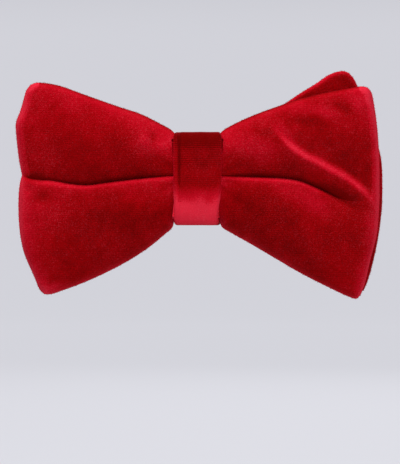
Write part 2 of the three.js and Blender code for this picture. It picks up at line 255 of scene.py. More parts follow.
def satin_material():
    """Polyester satin ribbon: long warp floats give it a soft gloss along its length and fine streaks."""
    settings = bpy.context.scene.bow_tie_band
    material, node, shader = new_material("dark_red_polyester_satin")
    run = node(COORDINATES, output="UV")
    # Floats about 4.5 mm long and 0.24 mm wide, and the shorter dips where a weft crosses them.
    floats, wefts = (
        node(NOISE, {
            "Vector": node("ShaderNodeMapping", {"Vector": run, "Scale": (lengthwise, widthwise, 1.0)}),
            "Scale": 1.0,
            "Detail": 2.0,
            "Roughness": 0.6,
        })
        for lengthwise, widthwise in ((220.0, 4200.0), (3600.0, 2800.0))
    )
    weave = node(MATH, {0: wefts, 1: 0.35, 2: floats}, operation="MULTIPLY_ADD")
    spread = {"Value": weave, "From Min": 0.45, "From Max": 0.9}
    value = node(MAP_RANGE, {**spread, "To Min": 0.72, "To Max": 1.25})
    set_inputs(shader, {
        "Base Color": node(HUE, {"Color": settings.satin, "Value": value}),
        "Roughness": node(MAP_RANGE, {**spread, "To Min": 0.2, "To Max": 0.4}),
        "Specular IOR Level": 0.45,
        "Specular Tint": hex_colour("#FF5A62"),
        "Anisotropic": 0.6,
        "Normal": node(BUMP, {"Height": weave, "Strength": 0.35, "Distance": 0.12 * MM}),
    })
    return material


def woven_material(name, code, thread_mm, roughness):
    """Plain weave: two sets of round threads that cross, drawn from their real spacing."""
    material, node, shader = new_material(name)
    place = node(COORDINATES, output="Object")
    turns = 2 * math.pi / (2 * thread_mm * MM)
    waves = []
    for axis in ("X", "Z"):
        across = node("ShaderNodeSeparateXYZ", {"Vector": place}, axis)
        angle = node(MATH, {0: across, 1: turns}, operation="MULTIPLY")
        waves.append(node(MATH, {0: angle}, operation="SINE"))
    crossing = node(MATH, dict(enumerate(waves)), operation="MULTIPLY")
    height = node(MAP_RANGE, {"Value": crossing, "From Min": -1.0})
    light = hex_colour(code)
    # Painted shade: a darker copy of the colour where the weave's height is low, between the threads.
    painted_shade_colour = tuple(c * 0.7 for c in light[:3]) + (1.0,)
    set_inputs(shader, {
        "Base Color": set_stops(node("ShaderNodeValToRGB", {"Fac": height}), [(0.1, painted_shade_colour), (0.8, light)]),
        "Roughness": roughness,
        "Sheen Weight": 0.1,
        "Normal": node(BUMP, {"Height": height, "Strength": 0.5, "Distance": 0.1 * MM}),
    })
    return material


def thread_material():
    """Spun polyester thread: a fine twist along a soft matt strand."""
    settings = bpy.context.scene.bow_tie_band
    material, node, shader = new_material("dark_red_polyester_thread")
    wave = {"Vector": node(COORDINATES, output="Object"), "Scale": 900.0, "Distortion": 2.0}
    twist = node("ShaderNodeTexWave", wave, "Fac", bands_direction="DIAGONAL")
    value = node(MAP_RANGE, {"Value": twist, "To Min": 0.7, "To Max": 1.15})
    set_inputs(shader, {
        "Base Color": node(HUE, {"Color": settings.thread, "Value": value}),
        "Roughness": 0.6,
        "Normal": node(BUMP, {"Height": twist, "Strength": 0.4, "Distance": 0.1 * MM}),
    })
    return material


def nickel_material():
    """Barrel-plated nickel: bright and slightly warm, with fine tumbling marks."""
    settings = bpy.context.scene.bow_tie_band
    material, node, shader = new_material("barrel_plated_nickel")
    marks = node(NOISE, {"Vector": node(COORDINATES, output="Object"), "Scale": 1400.0, "Detail": 5.0})
    value = node(MAP_RANGE, {"Value": marks, "To Min": 0.9, "To Max": 1.05})
    set_inputs(shader, {
        "Base Color": node(HUE, {"Color": settings.nickel, "Value": value}),
        "Roughness": node(MAP_RANGE, {"Value": marks, "To Min": 0.12, "To Max": 0.34}),
        "Metallic": 1.0,
        "Normal": node(BUMP, {"Height": marks, "Strength": 0.05, "Distance": 0.1 * MM}),
    })
    return material


MAKERS = {
    "velvet": velvet_material,
    "satin": satin_material,
    "thread": thread_material,
    "nickel": nickel_material,
    "interlining": lambda: woven_material("off_white_buckram_interlining", "#EFE9DC", 0.5, 0.9),
    "label": lambda: woven_material("black_damask_label", "#1B191A", 0.3, 0.6),
}
made_materials = {}


def set_material(piece, slot):
    """Gives a piece the one material of its slot."""
    if slot not in made_materials:
        made_materials[slot] = MAKERS[slot]()
    piece.data.materials.clear()
    piece.data.materials.append(made_materials[slot])


# ---- Lines and surfaces in millimetres ----


def steps_of(points):
    """How far each point is from the one before it."""
    return np.linalg.norm(np.diff(np.array(points, float), axis=0), axis=1)


class Line:
    """A smooth line through points, read by its share of length."""

    def __init__(self, points, fine=10):
        points = np.array(points, float)
        padded = np.vstack([2 * points[0] - points[1], points, 2 * points[-1] - points[-2]])
        pieces = []
        for p0, p1, p2, p3 in zip(padded, padded[1:], padded[2:], padded[3:]):
            # A centripetal spline doesn't loop or overshoot between unevenly spaced points.
            k1, k2, k3 = (max(np.linalg.norm(b - a), 1e-6) ** 0.5 for a, b in ((p0, p1), (p1, p2), (p2, p3)))
            m1 = k2 * ((p1 - p0) / k1 - (p2 - p0) / (k1 + k2) + (p2 - p1) / k2)
            m2 = k2 * ((p2 - p1) / k2 - (p3 - p1) / (k2 + k3) + (p3 - p2) / k3)
            t = np.linspace(0, 1, fine, endpoint=False)[:, None]
            pieces.append(
                (2 * t**3 - 3 * t**2 + 1) * p1
                + (t**3 - 2 * t**2 + t) * m1
                + (3 * t**2 - 2 * t**3) * p2
                + (t**3 - t**2) * m2
            )
        self.points = np.vstack([*pieces, points[-1:]])
        steps = steps_of(self.points)
        self.share = np.concatenate([[0], np.cumsum(steps)]) / steps.sum()
        self.length = steps.sum()

    def at(self, share):
        return np.stack([np.interp(share, self.share, column) for column in self.points.T], axis=-1)


def coons(bottom, top, inner, outer, across, along):
    """A grid of points between four lines: across runs from inner to outer, along from bottom to top."""
    u, v = across[None, :, None], along[:, None, None]
    b, t = bottom.at(across)[None], top.at(across)[None]
    i, o = inner.at(along)[:, None], outer.at(along)[:, None]
    corners = (
        (1 - u) * (1 - v) * bottom.at(0.0)
        + u * (1 - v) * bottom.at(1.0)
        + (1 - u) * v * top.at(0.0)
        + u * v * top.at(1.0)
    )
    return (1 - v) * b + v * t + (1 - u) * i + u * o - corners


def distance_to(points, line):
    """How far each point is from a line of points."""
    flat = points.reshape(-1, 2)
    a, b = line[:-1], line[1:]
    run = b - a
    squared = np.maximum((run**2).sum(1), 1e-12)
    nearest = []
    # The points go in batches, because each one is measured to every stretch of the line.
    for p in np.array_split(flat[:, None], 1 + len(flat) // 4000):
        share = np.clip(((p - a) * run).sum(2) / squared, 0, 1)
        gap = p - (a + share[..., None] * run)
        nearest.append(np.sqrt((gap**2).sum(2).min(1)))
    return np.concatenate(nearest).reshape(points.shape[:-1])


def ease(x, low=0.0, high=1.0):
    """A smooth step from 0 at low to 1 at high."""
    t = np.clip((x - low) / (high - low), 0, 1)
    return t * t * (3 - 2 * t)


def unevenness(x, z, wavelength, seed):
    """Gentle waves that never repeat, between about -1 and 1."""
    rng = np.random.default_rng(seed)
    total = np.zeros_like(x)
    for angle, phase, stretch in zip(
        rng.uniform(0, 2 * math.pi, 14), rng.uniform(0, 2 * math.pi, 14), rng.uniform(0.7, 1.6, 14)
    ):
        k = 2 * math.pi / (wavelength * stretch)
        total += np.sin(k * (x * math.cos(angle) + z * math.sin(angle)) + phase)
    return total / 5


def clustered(count, both=True):
    """Shares from 0 to 1 that crowd towards the end, or towards both ends."""
    t = np.linspace(0, 1, count)
    edge = 0.5 * (1 - np.cos(math.pi * t)) if both else np.sin(0.5 * math.pi * t)
    return 0.8 * edge + 0.2 * t


def in_scene(name, data):
    """A new object in the scene that holds a mesh, a curve, a camera or a light."""
    piece = bpy.data.objects.new(name, data)
    bpy.context.scene.collection.objects.link(piece)
    return piece


def new_piece(name, vertices, faces, attributes=None):
    """An object from vertices in metres and faces; each attribute has one number for each vertex."""
    mesh = bpy.data.meshes.new(name)
    mesh.from_pydata(vertices, [], faces)
    for key, values in (attributes or {}).items():
        layer = mesh.attributes.new(key, "FLOAT", "POINT")
        layer.data.foreach_set("value", np.asarray(values, np.float32).ravel())
    return in_scene(name, mesh)


def grid_faces(rows, columns):
    """The faces between rows of points, each of which closes on itself."""
    return [
        (
            row * columns + column,
            row * columns + (column + 1) % columns,
            (row + 1) * columns + (column + 1) % columns,
            (row + 1) * columns + column,
        )
        for row in range(rows - 1)
        for column in range(columns)
    ]


def grid_mesh(name, grid, closed=False, attributes=None, flip=False):
    """An object of quads over rows and columns of points; closed joins the last row to the first."""
    rows, columns = grid.shape[:2]
    last = rows if closed else rows - 1
    row, column = np.meshgrid(np.arange(last), np.arange(columns - 1), indexing="ij")
    a = row * columns + column
    b = ((row + 1) % rows) * columns + column
    quads = np.stack([a, a + 1, b + 1, b], axis=-1).reshape(-1, 4)
    if flip:
        quads = quads[:, ::-1]
    return new_piece(name, (grid.reshape(-1, 3) * MM).tolist(), quads.tolist(), attributes)


def select_only(*pieces):
    """Selects pieces, with the first one active."""
    bpy.ops.object.select_all(action="DESELECT")
    for piece in pieces:
        piece.select_set(True)
    bpy.context.view_layer.objects.active = pieces[0]


def select_all_of(piece):
    """Opens a piece in edit mode with all of its faces selected."""
    select_only(piece)
    bpy.ops.object.mode_set(mode="EDIT")
    bpy.ops.mesh.select_mode(type="FACE")
    bpy.ops.mesh.select_all(action="SELECT")


def face_outwards(piece):
    """Turns all of a piece's faces outwards."""
    select_all_of(piece)
    bpy.ops.mesh.normals_make_consistent(inside=False)
    bpy.ops.object.mode_set(mode="OBJECT")


def apply_modifier(piece, kind, **settings):
    select_only(piece)
    modifier = piece.modifiers.new(kind.title(), kind)
    for name, value in settings.items():
        setattr(modifier, name, value)
    bpy.ops.object.modifier_apply(modifier=modifier.name)


def smooth(piece, angle=None):
    """Shades a piece smooth, all over or where its faces meet at less than an angle in degrees."""
    select_only(piece)
    if angle is None:
        bpy.ops.object.shade_smooth()
    else:
        bpy.ops.object.shade_smooth_by_angle(angle=math.radians(angle))


def finished(piece, slot, body=None, nodes=()):
    """Gives a piece its material, and lets it ride on its body in place of its CAD nodes."""
    set_material(piece, slot)
    if body:
        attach(piece, body)
    if nodes:
        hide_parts(*nodes)
    return piece


# ---- The bows' outlines: x and z in millimetres ----

FRONT_LEFT = {
    "bottom": [(-2.2, -11.2), (-6.4, -12.8), (-7.9, -14.4), (-8.5, -16.6), (-11.4, -19.2), (-14.7, -22.0),
               (-19.4, -25.4), (-26.1, -29.4), (-32.7, -32.7), (-39.4, -35.6), (-45.4, -37.8), (-49.4, -39.1),
               (-51.6, -39.1)],
    "lower_edge": [(-51.6, -39.1), (-53.2, -37.4), (-54.8, -33.6), (-58.3, -25.4), (-59.7, -19.0),
                   (-60.2, -12.5), (-60.2, -6), (-59.8, -2), (-59.1, 0.9)],
    "fold": [(-2.2, 0.5), (-9, 0.5), (-20, -0.3), (-30, -1.5), (-37.3, -2.4), (-42.8, -1.9), (-48.5, -0.9),
             (-53.5, -0.6), (-56.4, -0.1), (-59.1, 0.9)],
    "upper_edge": [(-59.1, 0.9), (-60.1, 6.3), (-60.9, 13.0), (-61.1, 18.3), (-59.6, 22.6), (-58.5, 26.4),
                   (-57.6, 29.4), (-56.2, 31.2)],
    "top": [(-2.2, 11.2), (-6.0, 13.0), (-7.5, 14.6), (-8.7, 15.9), (-12.7, 18.2), (-19.4, 21.5),
            (-26.1, 23.7), (-32.7, 26.0), (-39.4, 28.4), (-46.1, 30.8), (-51.1, 31.8), (-54.4, 31.9),
            (-56.2, 31.2)],
}
FRONT_RIGHT = {
    "bottom": [(2.2, -11.2), (6.2, -12.8), (7.3, -14.4), (7.9, -16.4), (11.7, -18.8), (17.4, -22.0),
               (27.4, -27.9), (34.1, -31.8), (44.1, -36.9), (50.6, -39.9), (53.2, -40.6), (54.6, -39.4)],
    "lower_edge": [(54.6, -39.4), (55.9, -36.1), (58.1, -26.9), (60.0, -19.6), (60.7, -13), (61.0, -6.0),
                   (61.0, -4.0)],
    "fold": [(2.2, 0.4), (9, 0.4), (20.7, 0.2), (29, -0.2), (34, -1.0), (38, -2.6), (42, -4.4), (45, -5.8),
             (48, -7.1), (52, -8.0), (56, -7.6), (61.0, -4.0)],
    "upper_edge": [(61.0, -4.0), (61.0, 2), (60.7, 10.0), (60.1, 18.0), (59.0, 25.4), (58.2, 28.8),
                   (57.0, 30.3)],
    "top": [(2.2, 11.2), (5.8, 13.0), (7.2, 14.6), (8.3, 15.8), (11.7, 17.8), (15.4, 19.6), (20.7, 21.8),
            (27.4, 24.2), (34.1, 26.5), (42.4, 28.6), (51.4, 30.2), (55.2, 30.7), (57.0, 30.3)],
}
BACK_LEFT = {
    "bottom": [(-2.2, -11.0), (-6, -12.0), (-9.4, -15.0), (-16, -18.6), (-28, -25), (-44, -32.2),
               (-49.8, -34.6), (-51.6, -34.0)],
    "lower_edge": [(-51.6, -34.0), (-53.6, -28.5), (-56.6, -15), (-57.6, -3)],
    "fold": [(-2.2, 0), (-20, 0), (-40, -1), (-57.6, -3)],
    "upper_edge": [(-57.6, -3), (-57.8, 10), (-56.2, 22.5), (-54.6, 26.4)],
    "top": [(-2.2, 11.0), (-6, 12.0), (-9.4, 14.6), (-16, 17.1), (-30, 21.4), (-44, 25.3), (-52.6, 27.4),
            (-54.6, 26.4)],
}
BACK_RIGHT = {
    "bottom": [(2.2, -11.0), (6, -12.0), (9.4, -15.0), (20, -20), (35, -28), (48, -35), (54.4, -38.4),
               (56.0, -38.0)],
    "lower_edge": [(56.0, -38.0), (57.5, -34.5), (60.6, -22), (62.2, -10), (62.4, -3)],
    "fold": [(2.2, 0), (20, 0), (40, -1), (62.4, -3)],
    "upper_edge": [(62.4, -3), (62.0, 6), (59.2, 17), (54.4, 30), (52.6, 33.8), (51.0, 35.6)],
    "top": [(2.2, 11.0), (6, 12.0), (9.4, 14.6), (20, 20), (29.2, 25.1), (34.4, 28.6), (39.9, 32.0),
            (44.4, 35.0), (47.2, 36.0), (49.4, 36.2), (51.0, 35.6)],
}
# The soft crease that runs down and outwards across the right wing.
CREASE = [(22, 19.5), (24.5, 17.2), (27, 14.4), (29.8, 11.4), (33, 8.8), (36.5, 6.8), (40, 5.2), (44.1, 2.9),
          (49.1, 0.3), (54.1, -3.4), (57.5, -6.7), (59.5, -10)]
ROWS = 64
COLUMNS = 120


class Wing:
    """A wing's grid: rows from bottom to top, columns from the middle outwards, distances in millimetres."""

    def __init__(self, outline, side):
        lines = {name: Line(points) for name, points in outline.items()}
        across = clustered(COLUMNS, both=False)
        rows = clustered(ROWS)
        inner_x, fold_z = outline["fold"][0]
        low = Line([outline["bottom"][0], (inner_x, fold_z)])
        high = Line([(inner_x, fold_z), outline["top"][0]])
        lower = coons(lines["bottom"], lines["fold"], low, lines["lower_edge"], across, rows)
        upper = coons(lines["fold"], lines["top"], high, lines["upper_edge"], across, rows)
        self.side = side
        self.points = np.vstack([lower, upper[1:]])
        self.x, self.z = self.points[..., 0], self.points[..., 1]
        self.out = np.abs(self.x)
        self.upper = np.broadcast_to(np.arange(2 * ROWS - 1)[:, None] >= ROWS, self.x.shape)
        spans = [np.linalg.norm(lobe[-1] - lobe[0], axis=1) for lobe in (lower, upper)]
        share = np.concatenate([1 - rows, rows[1:]])[:, None]
        self.span = np.where(self.upper, spans[1], spans[0])
        self.from_fold = share * self.span
        self.end_line = np.vstack([lines["lower_edge"].points, lines["upper_edge"].points[1:]])
        self.outline = np.vstack([lines["bottom"].points, self.end_line[1:], lines["top"].points[::-1][1:]])
        self.inset = distance_to(self.points, self.outline)
        self.end = distance_to(self.points, self.end_line)


def turned_edge(inset, width):
    """How far the cloth has come round its turned edge, from 0 at the seam to 1."""
    return np.sqrt(np.clip(1 - (1 - np.clip(inset / width, 0, 1)) ** 2, 0, 1))


def bowl(distance, width):
    """1 at the edge, easing down to 0 at a distance of width."""
    return (1 - np.clip(distance / width, 0, 1)) ** 2


def crease_gap(wing):
    """How far above the soft crease each point is."""
    line = Line(CREASE).points
    return (wing.z - np.interp(wing.x, line[:, 0], line[:, 1])) * 0.86


def crease_strength(wing):
    return ease(wing.x, 23, 31) * (1 - 0.75 * ease(wing.x, 53, 60))


def dab(wing, place, length, width, tilt=0):
    """A soft oval spot, 1 in its middle, with its length turned by tilt degrees from level."""
    c, s = math.cos(math.radians(tilt)), math.sin(math.radians(tilt))
    x, z = wing.x - place[0], wing.z - place[1]
    return np.exp(-(((x * c + z * s) / length) ** 2) - ((z * c - x * s) / width) ** 2)


def front_relief(wing):
    """Height over the seam of the front bow: its lobes, the fold between them and the right wing's crease."""
    settings = bpy.context.scene.bow_tie_bow
    full, edge = settings.front_depth / MM, settings.edge_depth / MM
    x, z, out, d = wing.x, wing.z, wing.out, wing.from_fold
    left = wing.side < 0
    depth = full * (0.88 + 0.12 * ease(out, 8, 20)) * (1 - 0.3 * ease(out, 26, 60))
    depth = depth + 0.5 * np.exp(-(((out - 8.6) / 1.8) ** 2))
    # The fold has a sharp line and a soft slope into it, and both fade towards the wing's end.
    if left:
        sharp, soft = 1 - 0.2 * ease(out, 38, 57), 1 - 0.45 * ease(out, 38, 57)
    else:
        sharp, soft = 1 - ease(out, 42, 52), 1 - ease(out, 46, 59)
    pinched = settings.fold_share * (0.4 + 0.6 * ease(out, 7, 20))
    # Above the fold the cloth slopes in slowly; below it the lower lobe's rim stands up at once.
    above = 0.3 * sharp * np.exp(-d / 0.45) + 0.7 * soft * np.exp(-((d / 6.5) ** 1.25))
    steep = 0.6 + 2.6 * (1 - sharp)
    below = (0.3 * sharp + 0.4 * soft) * np.exp(-((d / steep) ** 1.5)) + 0.3 * soft * np.exp(-d / 3.4)
    raised = depth * (1 - pinched * np.where(wing.upper, above, below))
    if left:
        raised += 0.35 * dab(wing, (-17.6, 12.5), 2.2, 2.2) + 0.3 * dab(wing, (-12.2, 10.4), 1.8, 1.8)
        raised -= 0.5 * dab(wing, (-15.1, 12.8), 1.0, 2.4)
        raised -= 0.6 * dab(wing, (-56.4, -3.6), 2.2, 2.2) + 0.4 * dab(wing, (-52.2, -7.4), 3.0, 2.4)
    else:
        # The soft crease is a shelf: the cloth comes forward across it and sinks away under it.
        gap = crease_gap(wing)
        shelf = ease(-gap, -1.9, 1.5)
        sinking = np.where(gap > 0, np.exp(-np.maximum(gap, 0) / 8), np.exp(np.minimum(gap, 0) / 5))
        raised += crease_strength(wing) * (2.3 * shelf - 1.2) * sinking
        raised -= 0.55 * dab(wing, (34.5, 18.6), 6.0, 2.6, -10) + 0.4 * dab(wing, (48.8, 22.8), 4.0, 2.2, -20)
        raised += 0.2 * dab(wing, (40, 21.5), 3.0, 2.0) - 0.2 * dab(wing, (22, 14.5), 3, 2)
    # Each lobe rounds over towards its outer edge and towards the wing's end.
    reach = np.where(wing.upper, 0.66, 0.5) * wing.span
    away = wing.span - d
    raised = edge + (raised - edge) * (1 - np.where(wing.upper, 0.66, 0.5) * bowl(away, reach))
    raised = edge + (raised - edge) * (1 - 0.45 * bowl(wing.end, 9))
    # Puckers that fan out from the knot, and the cloth's own unevenness.
    angle = np.arctan2(z, out - 2)
    raised += 0.1 * np.sin(angle * 15 + 1.5 * wing.side) * np.exp(-(out - 8) / 6) * ease(out, 7, 9)
    raised += 0.1 * unevenness(x, z, 18, 5) + 0.03 * unevenness(x, z, 5, 8)
    raised = edge + (raised - edge) * (1 - np.exp(-wing.inset / 1.8))
    return np.maximum(turned_edge(wing.inset, settings.edge_round / MM) * raised, 0)


# Painted light and shade dabbed on the front bow, lighter or darker: amount, x, z, length, width and tilt.
PAINTED_LIGHT_AND_SHADE_DABS = {
    -1: [
        (0.22, -17.6, 12.5, 1.8, 3.0, 0), (0.2, -12.2, 10.4, 2.0, 2.0, 0), (-0.2, -15.0, 12.6, 0.8, 2.2, 0),
        (-0.3, -55.5, 0.3, 5, 1.2, 0), (-0.12, -20, -14, 11, 8, 0), (-0.1, -52, -7, 2.8, 2.4, 0),
        (0.06, -18, 7, 14, 4, 0), (-0.1, -30, -11, 8, 7, 0), (-0.12, -49, -20, 5, 6, 0),
        (-0.1, -36, 12, 16, 8, -8), (0.16, -19, 10.5, 4, 2.6, 0), (0.2, -9, 13, 1.5, 2.5, 0),
        (-0.1, -11, 4, 3, 3, 0), (-0.18, -56.8, -1.2, 3, 1.2, 0), (-0.14, -39.5, -7, 4, 2.5, 0),
        (0.14, -47, -12, 4, 4.5, 0), (-0.12, -49, -26, 4, 5, 0), (0.35, -49, -37, 6, 1.7, 15),
        (-0.08, -36.7, -15, 4, 5, 0), (0.12, -16, -18.5, 9, 3, 33), (0.1, -34, -32, 10, 2, 25),
    ],
    1: [
        (0.12, 17, 10.5, 6, 5, 0), (-0.24, 34.5, 18.6, 6.0, 2.4, -10), (-0.2, 48.8, 22.8, 3.6, 2.2, -20),
        (0.12, 46, -1, 8, 3, -30), (-0.16, 52, 8, 9, 11, 0), (-0.36, 45, -5.8, 7, 1.5, -25),
        (-0.14, 51, -18, 8, 12, 0), (0.26, 38, -8.6, 9, 3.4, -27), (-0.3, 17, -9, 7, 7, 0),
        (-0.2, 33, -14, 9, 5, -25), (-0.26, 48.5, -6, 5.5, 2.2, -25), (0.14, 36, 5, 7, 2.2, -28),
        (0.16, 22, 7.5, 8, 4, 0), (-0.1, 26, 21, 14, 2.5, 22), (0.16, 14.4, 11, 3, 2.5, 0),
        (0.24, 42, 21.6, 5, 2.4, -10), (0.24, 54.5, 25.5, 4, 3, 0), (-0.18, 42, 28.4, 9, 1.8, 14),
        (-0.12, 41, 14.5, 6, 4, -30), (0.24, 30.5, 13.6, 5, 1.2, -50), (-0.12, 21.5, 14.4, 7, 2, -15),
        (-0.16, 52, -10, 5, 2.4, 0), (0.2, 53.5, -3.4, 4.5, 1.6, -45), (-0.14, 57.5, 4, 2, 8, 0),
        (-0.12, 12, 4.5, 4, 3, 0), (-0.1, 26, -15, 6, 5, 0), (-0.1, 33, -25, 9, 3, -30),
    ],
}


def front_painted_light(wing):
    """Painted light and shade on the front bow: painted highlights on the rims, the ends, the crease and some
    dabs, painted shade beside the folds and in other dabs, over a little random tone.
    """
    x, z, d = wing.x, wing.z, wing.from_fold
    painted_light_and_tone = 0.05 * unevenness(x, z, 12, 3) + 0.03 * unevenness(x, z, 4, 4)
    folded = 1 - (0.3 * ease(wing.out, 40, 57) if wing.side < 0 else ease(wing.out, 42, 50))
    # Painted shade: a dark line in the fold and a little above it, and a painted highlight just below it.
    painted_light_under_fold = 0.12 * np.exp(-d / 4.0) - 0.3 * np.exp(-((d / 0.6) ** 2))
    painted_light_and_tone += folded * np.where(wing.upper, -0.04 * np.exp(-d / 3.0), painted_light_under_fold)
    # Painted sheen along the wing's end.
    painted_light_and_tone += 0.4 * np.exp(-wing.end / 1.2) + (0.12 if wing.side < 0 else 0.3) * np.exp(-wing.end / 2.6)
    # A painted dark line along the upper edges, and painted sheen along the other edges.
    rim = np.exp(-wing.inset / 0.5)
    painted_light_and_tone += np.where(wing.upper & (wing.end > 3), -0.5 * rim, 0.35 * rim + 0.42 * np.exp(-wing.inset / 2.8))
    # Painted light beside the knot, where its shadow falls.
    painted_light_and_tone += 0.22 * np.exp(-np.maximum(wing.out - 7.5, 0) / 1.8)
    if wing.side < 0:
        # Painted sheen at the bottom of the left wing's end, and painted shade over the middle of its lower
        # lobe.
        painted_light_and_tone += 0.1 * ease(wing.out, 44, 54) * ease(-z, 4, 12)
        painted_light_and_tone -= 0.08 * ease(-z, 6, 12) * (1 - ease(wing.out, 40, 52))
    else:
        # A painted highlight along the crease's ridge, and painted shade towards the bottom.
        painted_light_and_tone += crease_strength(wing) * 0.3 * np.exp(-((crease_gap(wing) / 1.3) ** 2))
        painted_light_and_tone -= 0.05 * ease(-z, 12, 24)
    for amount, x, z, length, width, tilt in PAINTED_LIGHT_AND_SHADE_DABS[wing.side]:
        painted_light_and_tone += amount * dab(wing, (x, z), length, width, tilt)
    return painted_light_and_tone


def flat_relief(rise, crown, seed):
    """A panel that is pressed almost flat, with a soft turned edge."""

    def relief(wing):
        settings = bpy.context.scene.bow_tie_bow
        raised = rise + crown * (1 - np.exp(-wing.inset / 7)) + 0.1 * unevenness(wing.x, wing.z, 19, seed)
        return np.maximum(turned_edge(wing.inset, 0.8 * settings.edge_round / MM) * raised, 0)

    return relief


# Painted light and shade on a plain panel: a level, a little random tone and painted sheen along its edges.
def plain_painted_light(level, seed):
    return lambda wing: level + 0.06 * unevenness(wing.x, wing.z, 12, seed) + 0.35 * np.exp(-wing.inset / 0.9)


def grid_normals(grid):
    """Unit normals of a grid of points, on the side that faces the front."""
    normal = np.cross(np.gradient(grid, axis=1), np.gradient(grid, axis=0))
    return normal / np.maximum(np.linalg.norm(normal, axis=2), 1e-9)[..., None]


def make_panel(name, wings, seam_y, facing, relief, painted_light_and_tone, node):
    """A velvet panel of a bow, with its real thickness; facing is -1 to the front and 1 to the back."""
    velvet = bpy.context.scene.bow_tie_velvet
    parts = []
    for wing in wings:
        grid = np.stack([wing.x, seam_y + facing * relief(wing), wing.z], axis=-1)
        part = np.dstack([grid, painted_light_and_tone(wing)])
        parts.append(part[:, ::-1] if wing.side < 0 else part)
    whole = np.concatenate(parts, axis=1)
    grid, painted_lightness = whole[..., :3], whole[..., 3]
    # Painted light and shade: lighter where the cloth turns up to the light above and darker where it turns
    # down.
    up = -facing * grid_normals(grid)[..., 2]
    painted_lightness = 0.34 + 0.42 * np.clip(up, -0.7, 0.7) + painted_lightness
    piece = grid_mesh(name, grid, attributes={"painted_light_and_tone": painted_lightness, "rib": np.full(painted_lightness.shape, 0.05)}, flip=facing > 0)
    apply_modifier(piece, "SOLIDIFY", thickness=velvet.cloth, offset=-1, use_even_offset=False)
    smooth(piece)
    finished(piece, "velvet", "bow", [node])
    return piece


class BOWTIE_OT_front_bow(bpy.types.Operator):
    """Make the front bow's velvet face and back, and the pile that stands out round their edge"""

    bl_idname = "bowtie.front_bow"
    bl_label = "Front bow"

    def execute(self, context):
        wings = [Wing(FRONT_LEFT, -1), Wing(FRONT_RIGHT, 1)]
        make_panel(
            "front_bow_velvet_face", wings, -11.6, -1, front_relief, front_painted_light,
            "front_bow_face",
        )
        make_panel(
            "front_bow_velvet_back", wings, -11.3, 1, flat_relief(1.0, 0.25, 11), plain_painted_light(0.05, 13),
            "front_bow_back",
        )
        pile_fringe("front_bow_pile_edge", wings, -11.45, (2.3, 1.1), 7)
        return {"FINISHED"}


class BOWTIE_OT_back_bow(bpy.types.Operator):
    """Make the back bow's velvet face and back, and the pile that stands out round their edge"""

    bl_idname = "bowtie.back_bow"
    bl_label = "Back bow"

    def execute(self, context):
        wings = [Wing(BACK_LEFT, -1), Wing(BACK_RIGHT, 1)]
        # The back bow's face gets a lower level of painted light: painted shade, as it lies behind the front
        # bow.
        make_panel(
            "back_bow_velvet_face", wings, -7.1, -1, flat_relief(1.7, 0.45, 21), plain_painted_light(-0.16, 23),
            "back_bow_face",
        )
        make_panel(
            "back_bow_velvet_back", wings, -6.8, 1, flat_relief(1.0, 0.25, 31), plain_painted_light(0.05, 33),
            "back_bow_back",
        )
        pile_fringe("back_bow_pile_edge", wings, -6.95, (1.7, 1.1), 9)
        return {"FINISHED"}


TUFTS_PER_MM = 20
TUFT_THICKNESS = 0.07
TUFT_ROOT = 0.15


def pile_fringe(name, wings, seam_y, depths, seed):
    """Short tufts of pile all round a bow's turned edge; depths are its reach to the front and to the back."""
    settings = bpy.context.scene.bow_tie_bow
    width = settings.edge_round / MM
    rng = np.random.default_rng(seed)
    bases, tips, sides, painted_lightness = [], [], [], []
    for wing in wings:
        line = Line(wing.outline[np.abs(wing.outline[:, 0]) > 8.6])
        count = int(line.length * TUFTS_PER_MM)
        share = np.sort(rng.uniform(0, 1, count))
        place = line.at(share)
        run = line.at(np.minimum(share + 0.002, 1)) - line.at(np.maximum(share - 0.002, 0))
        run /= np.linalg.norm(run, axis=1)[:, None]
        # The outline runs from the bottom round the end to the top, so outwards is on one side of it.
        outwards = np.stack([run[:, 1], -run[:, 0]], 1) * wing.side
        turn = rng.uniform(-0.95, 0.95, count)
        level = np.sqrt(1 - turn**2)
        depth = np.where(turn < 0, depths[0], depths[1])
        x, z = (place - outwards * (width * (1 - level))[:, None]).T
        base = np.stack([x, seam_y + turn * depth, z], 1)
        normal = np.stack([outwards[:, 0] * level, turn, outwards[:, 1] * level], 1)
        along_run = np.stack([run[:, 0], 0 * turn, run[:, 1]], 1)
        length = rng.uniform(0.15, 0.42, count)
        tip = base + length[:, None] * (normal + along_run * rng.normal(0, 0.35, count)[:, None])
        bases.append(base - normal * TUFT_ROOT)
        tips.append(tip)
        sides.append(along_run)
        # Painted shade on the tufts along the upper edges, with tone that differs at random.
        top = ease(outwards[:, 1], 0.1, 0.6)
        painted_lightness.append(0.55 - 0.4 * top + rng.uniform(-0.25, 0.25, count))
    base, tip, side, painted_lightness = (np.concatenate(part) for part in (bases, tips, sides, painted_lightness))
    across = np.cross(tip - base, side)
    across *= TUFT_THICKNESS / np.linalg.norm(across, axis=1)[:, None]
    side = side * TUFT_THICKNESS
    # Each tuft is a thin spike on a triangle, with no face at its root.
    corners = [base + side, base - side / 2 + across, base - side / 2 - across, tip]
    vertices = np.stack(corners, 1).reshape(-1, 3) * MM
    start = len(corners) * np.arange(len(base))[:, None]
    faces = np.concatenate([start + np.array(face) for face in ((0, 1, 3), (1, 2, 3), (2, 0, 3))])
    painted_light_and_tone = {"painted_light_and_tone": np.repeat(painted_lightness, len(corners))}
    return finished(new_piece(name, vertices.tolist(), faces.tolist(), painted_light_and_tone), "velvet", "bow")


# ---- The knot ----

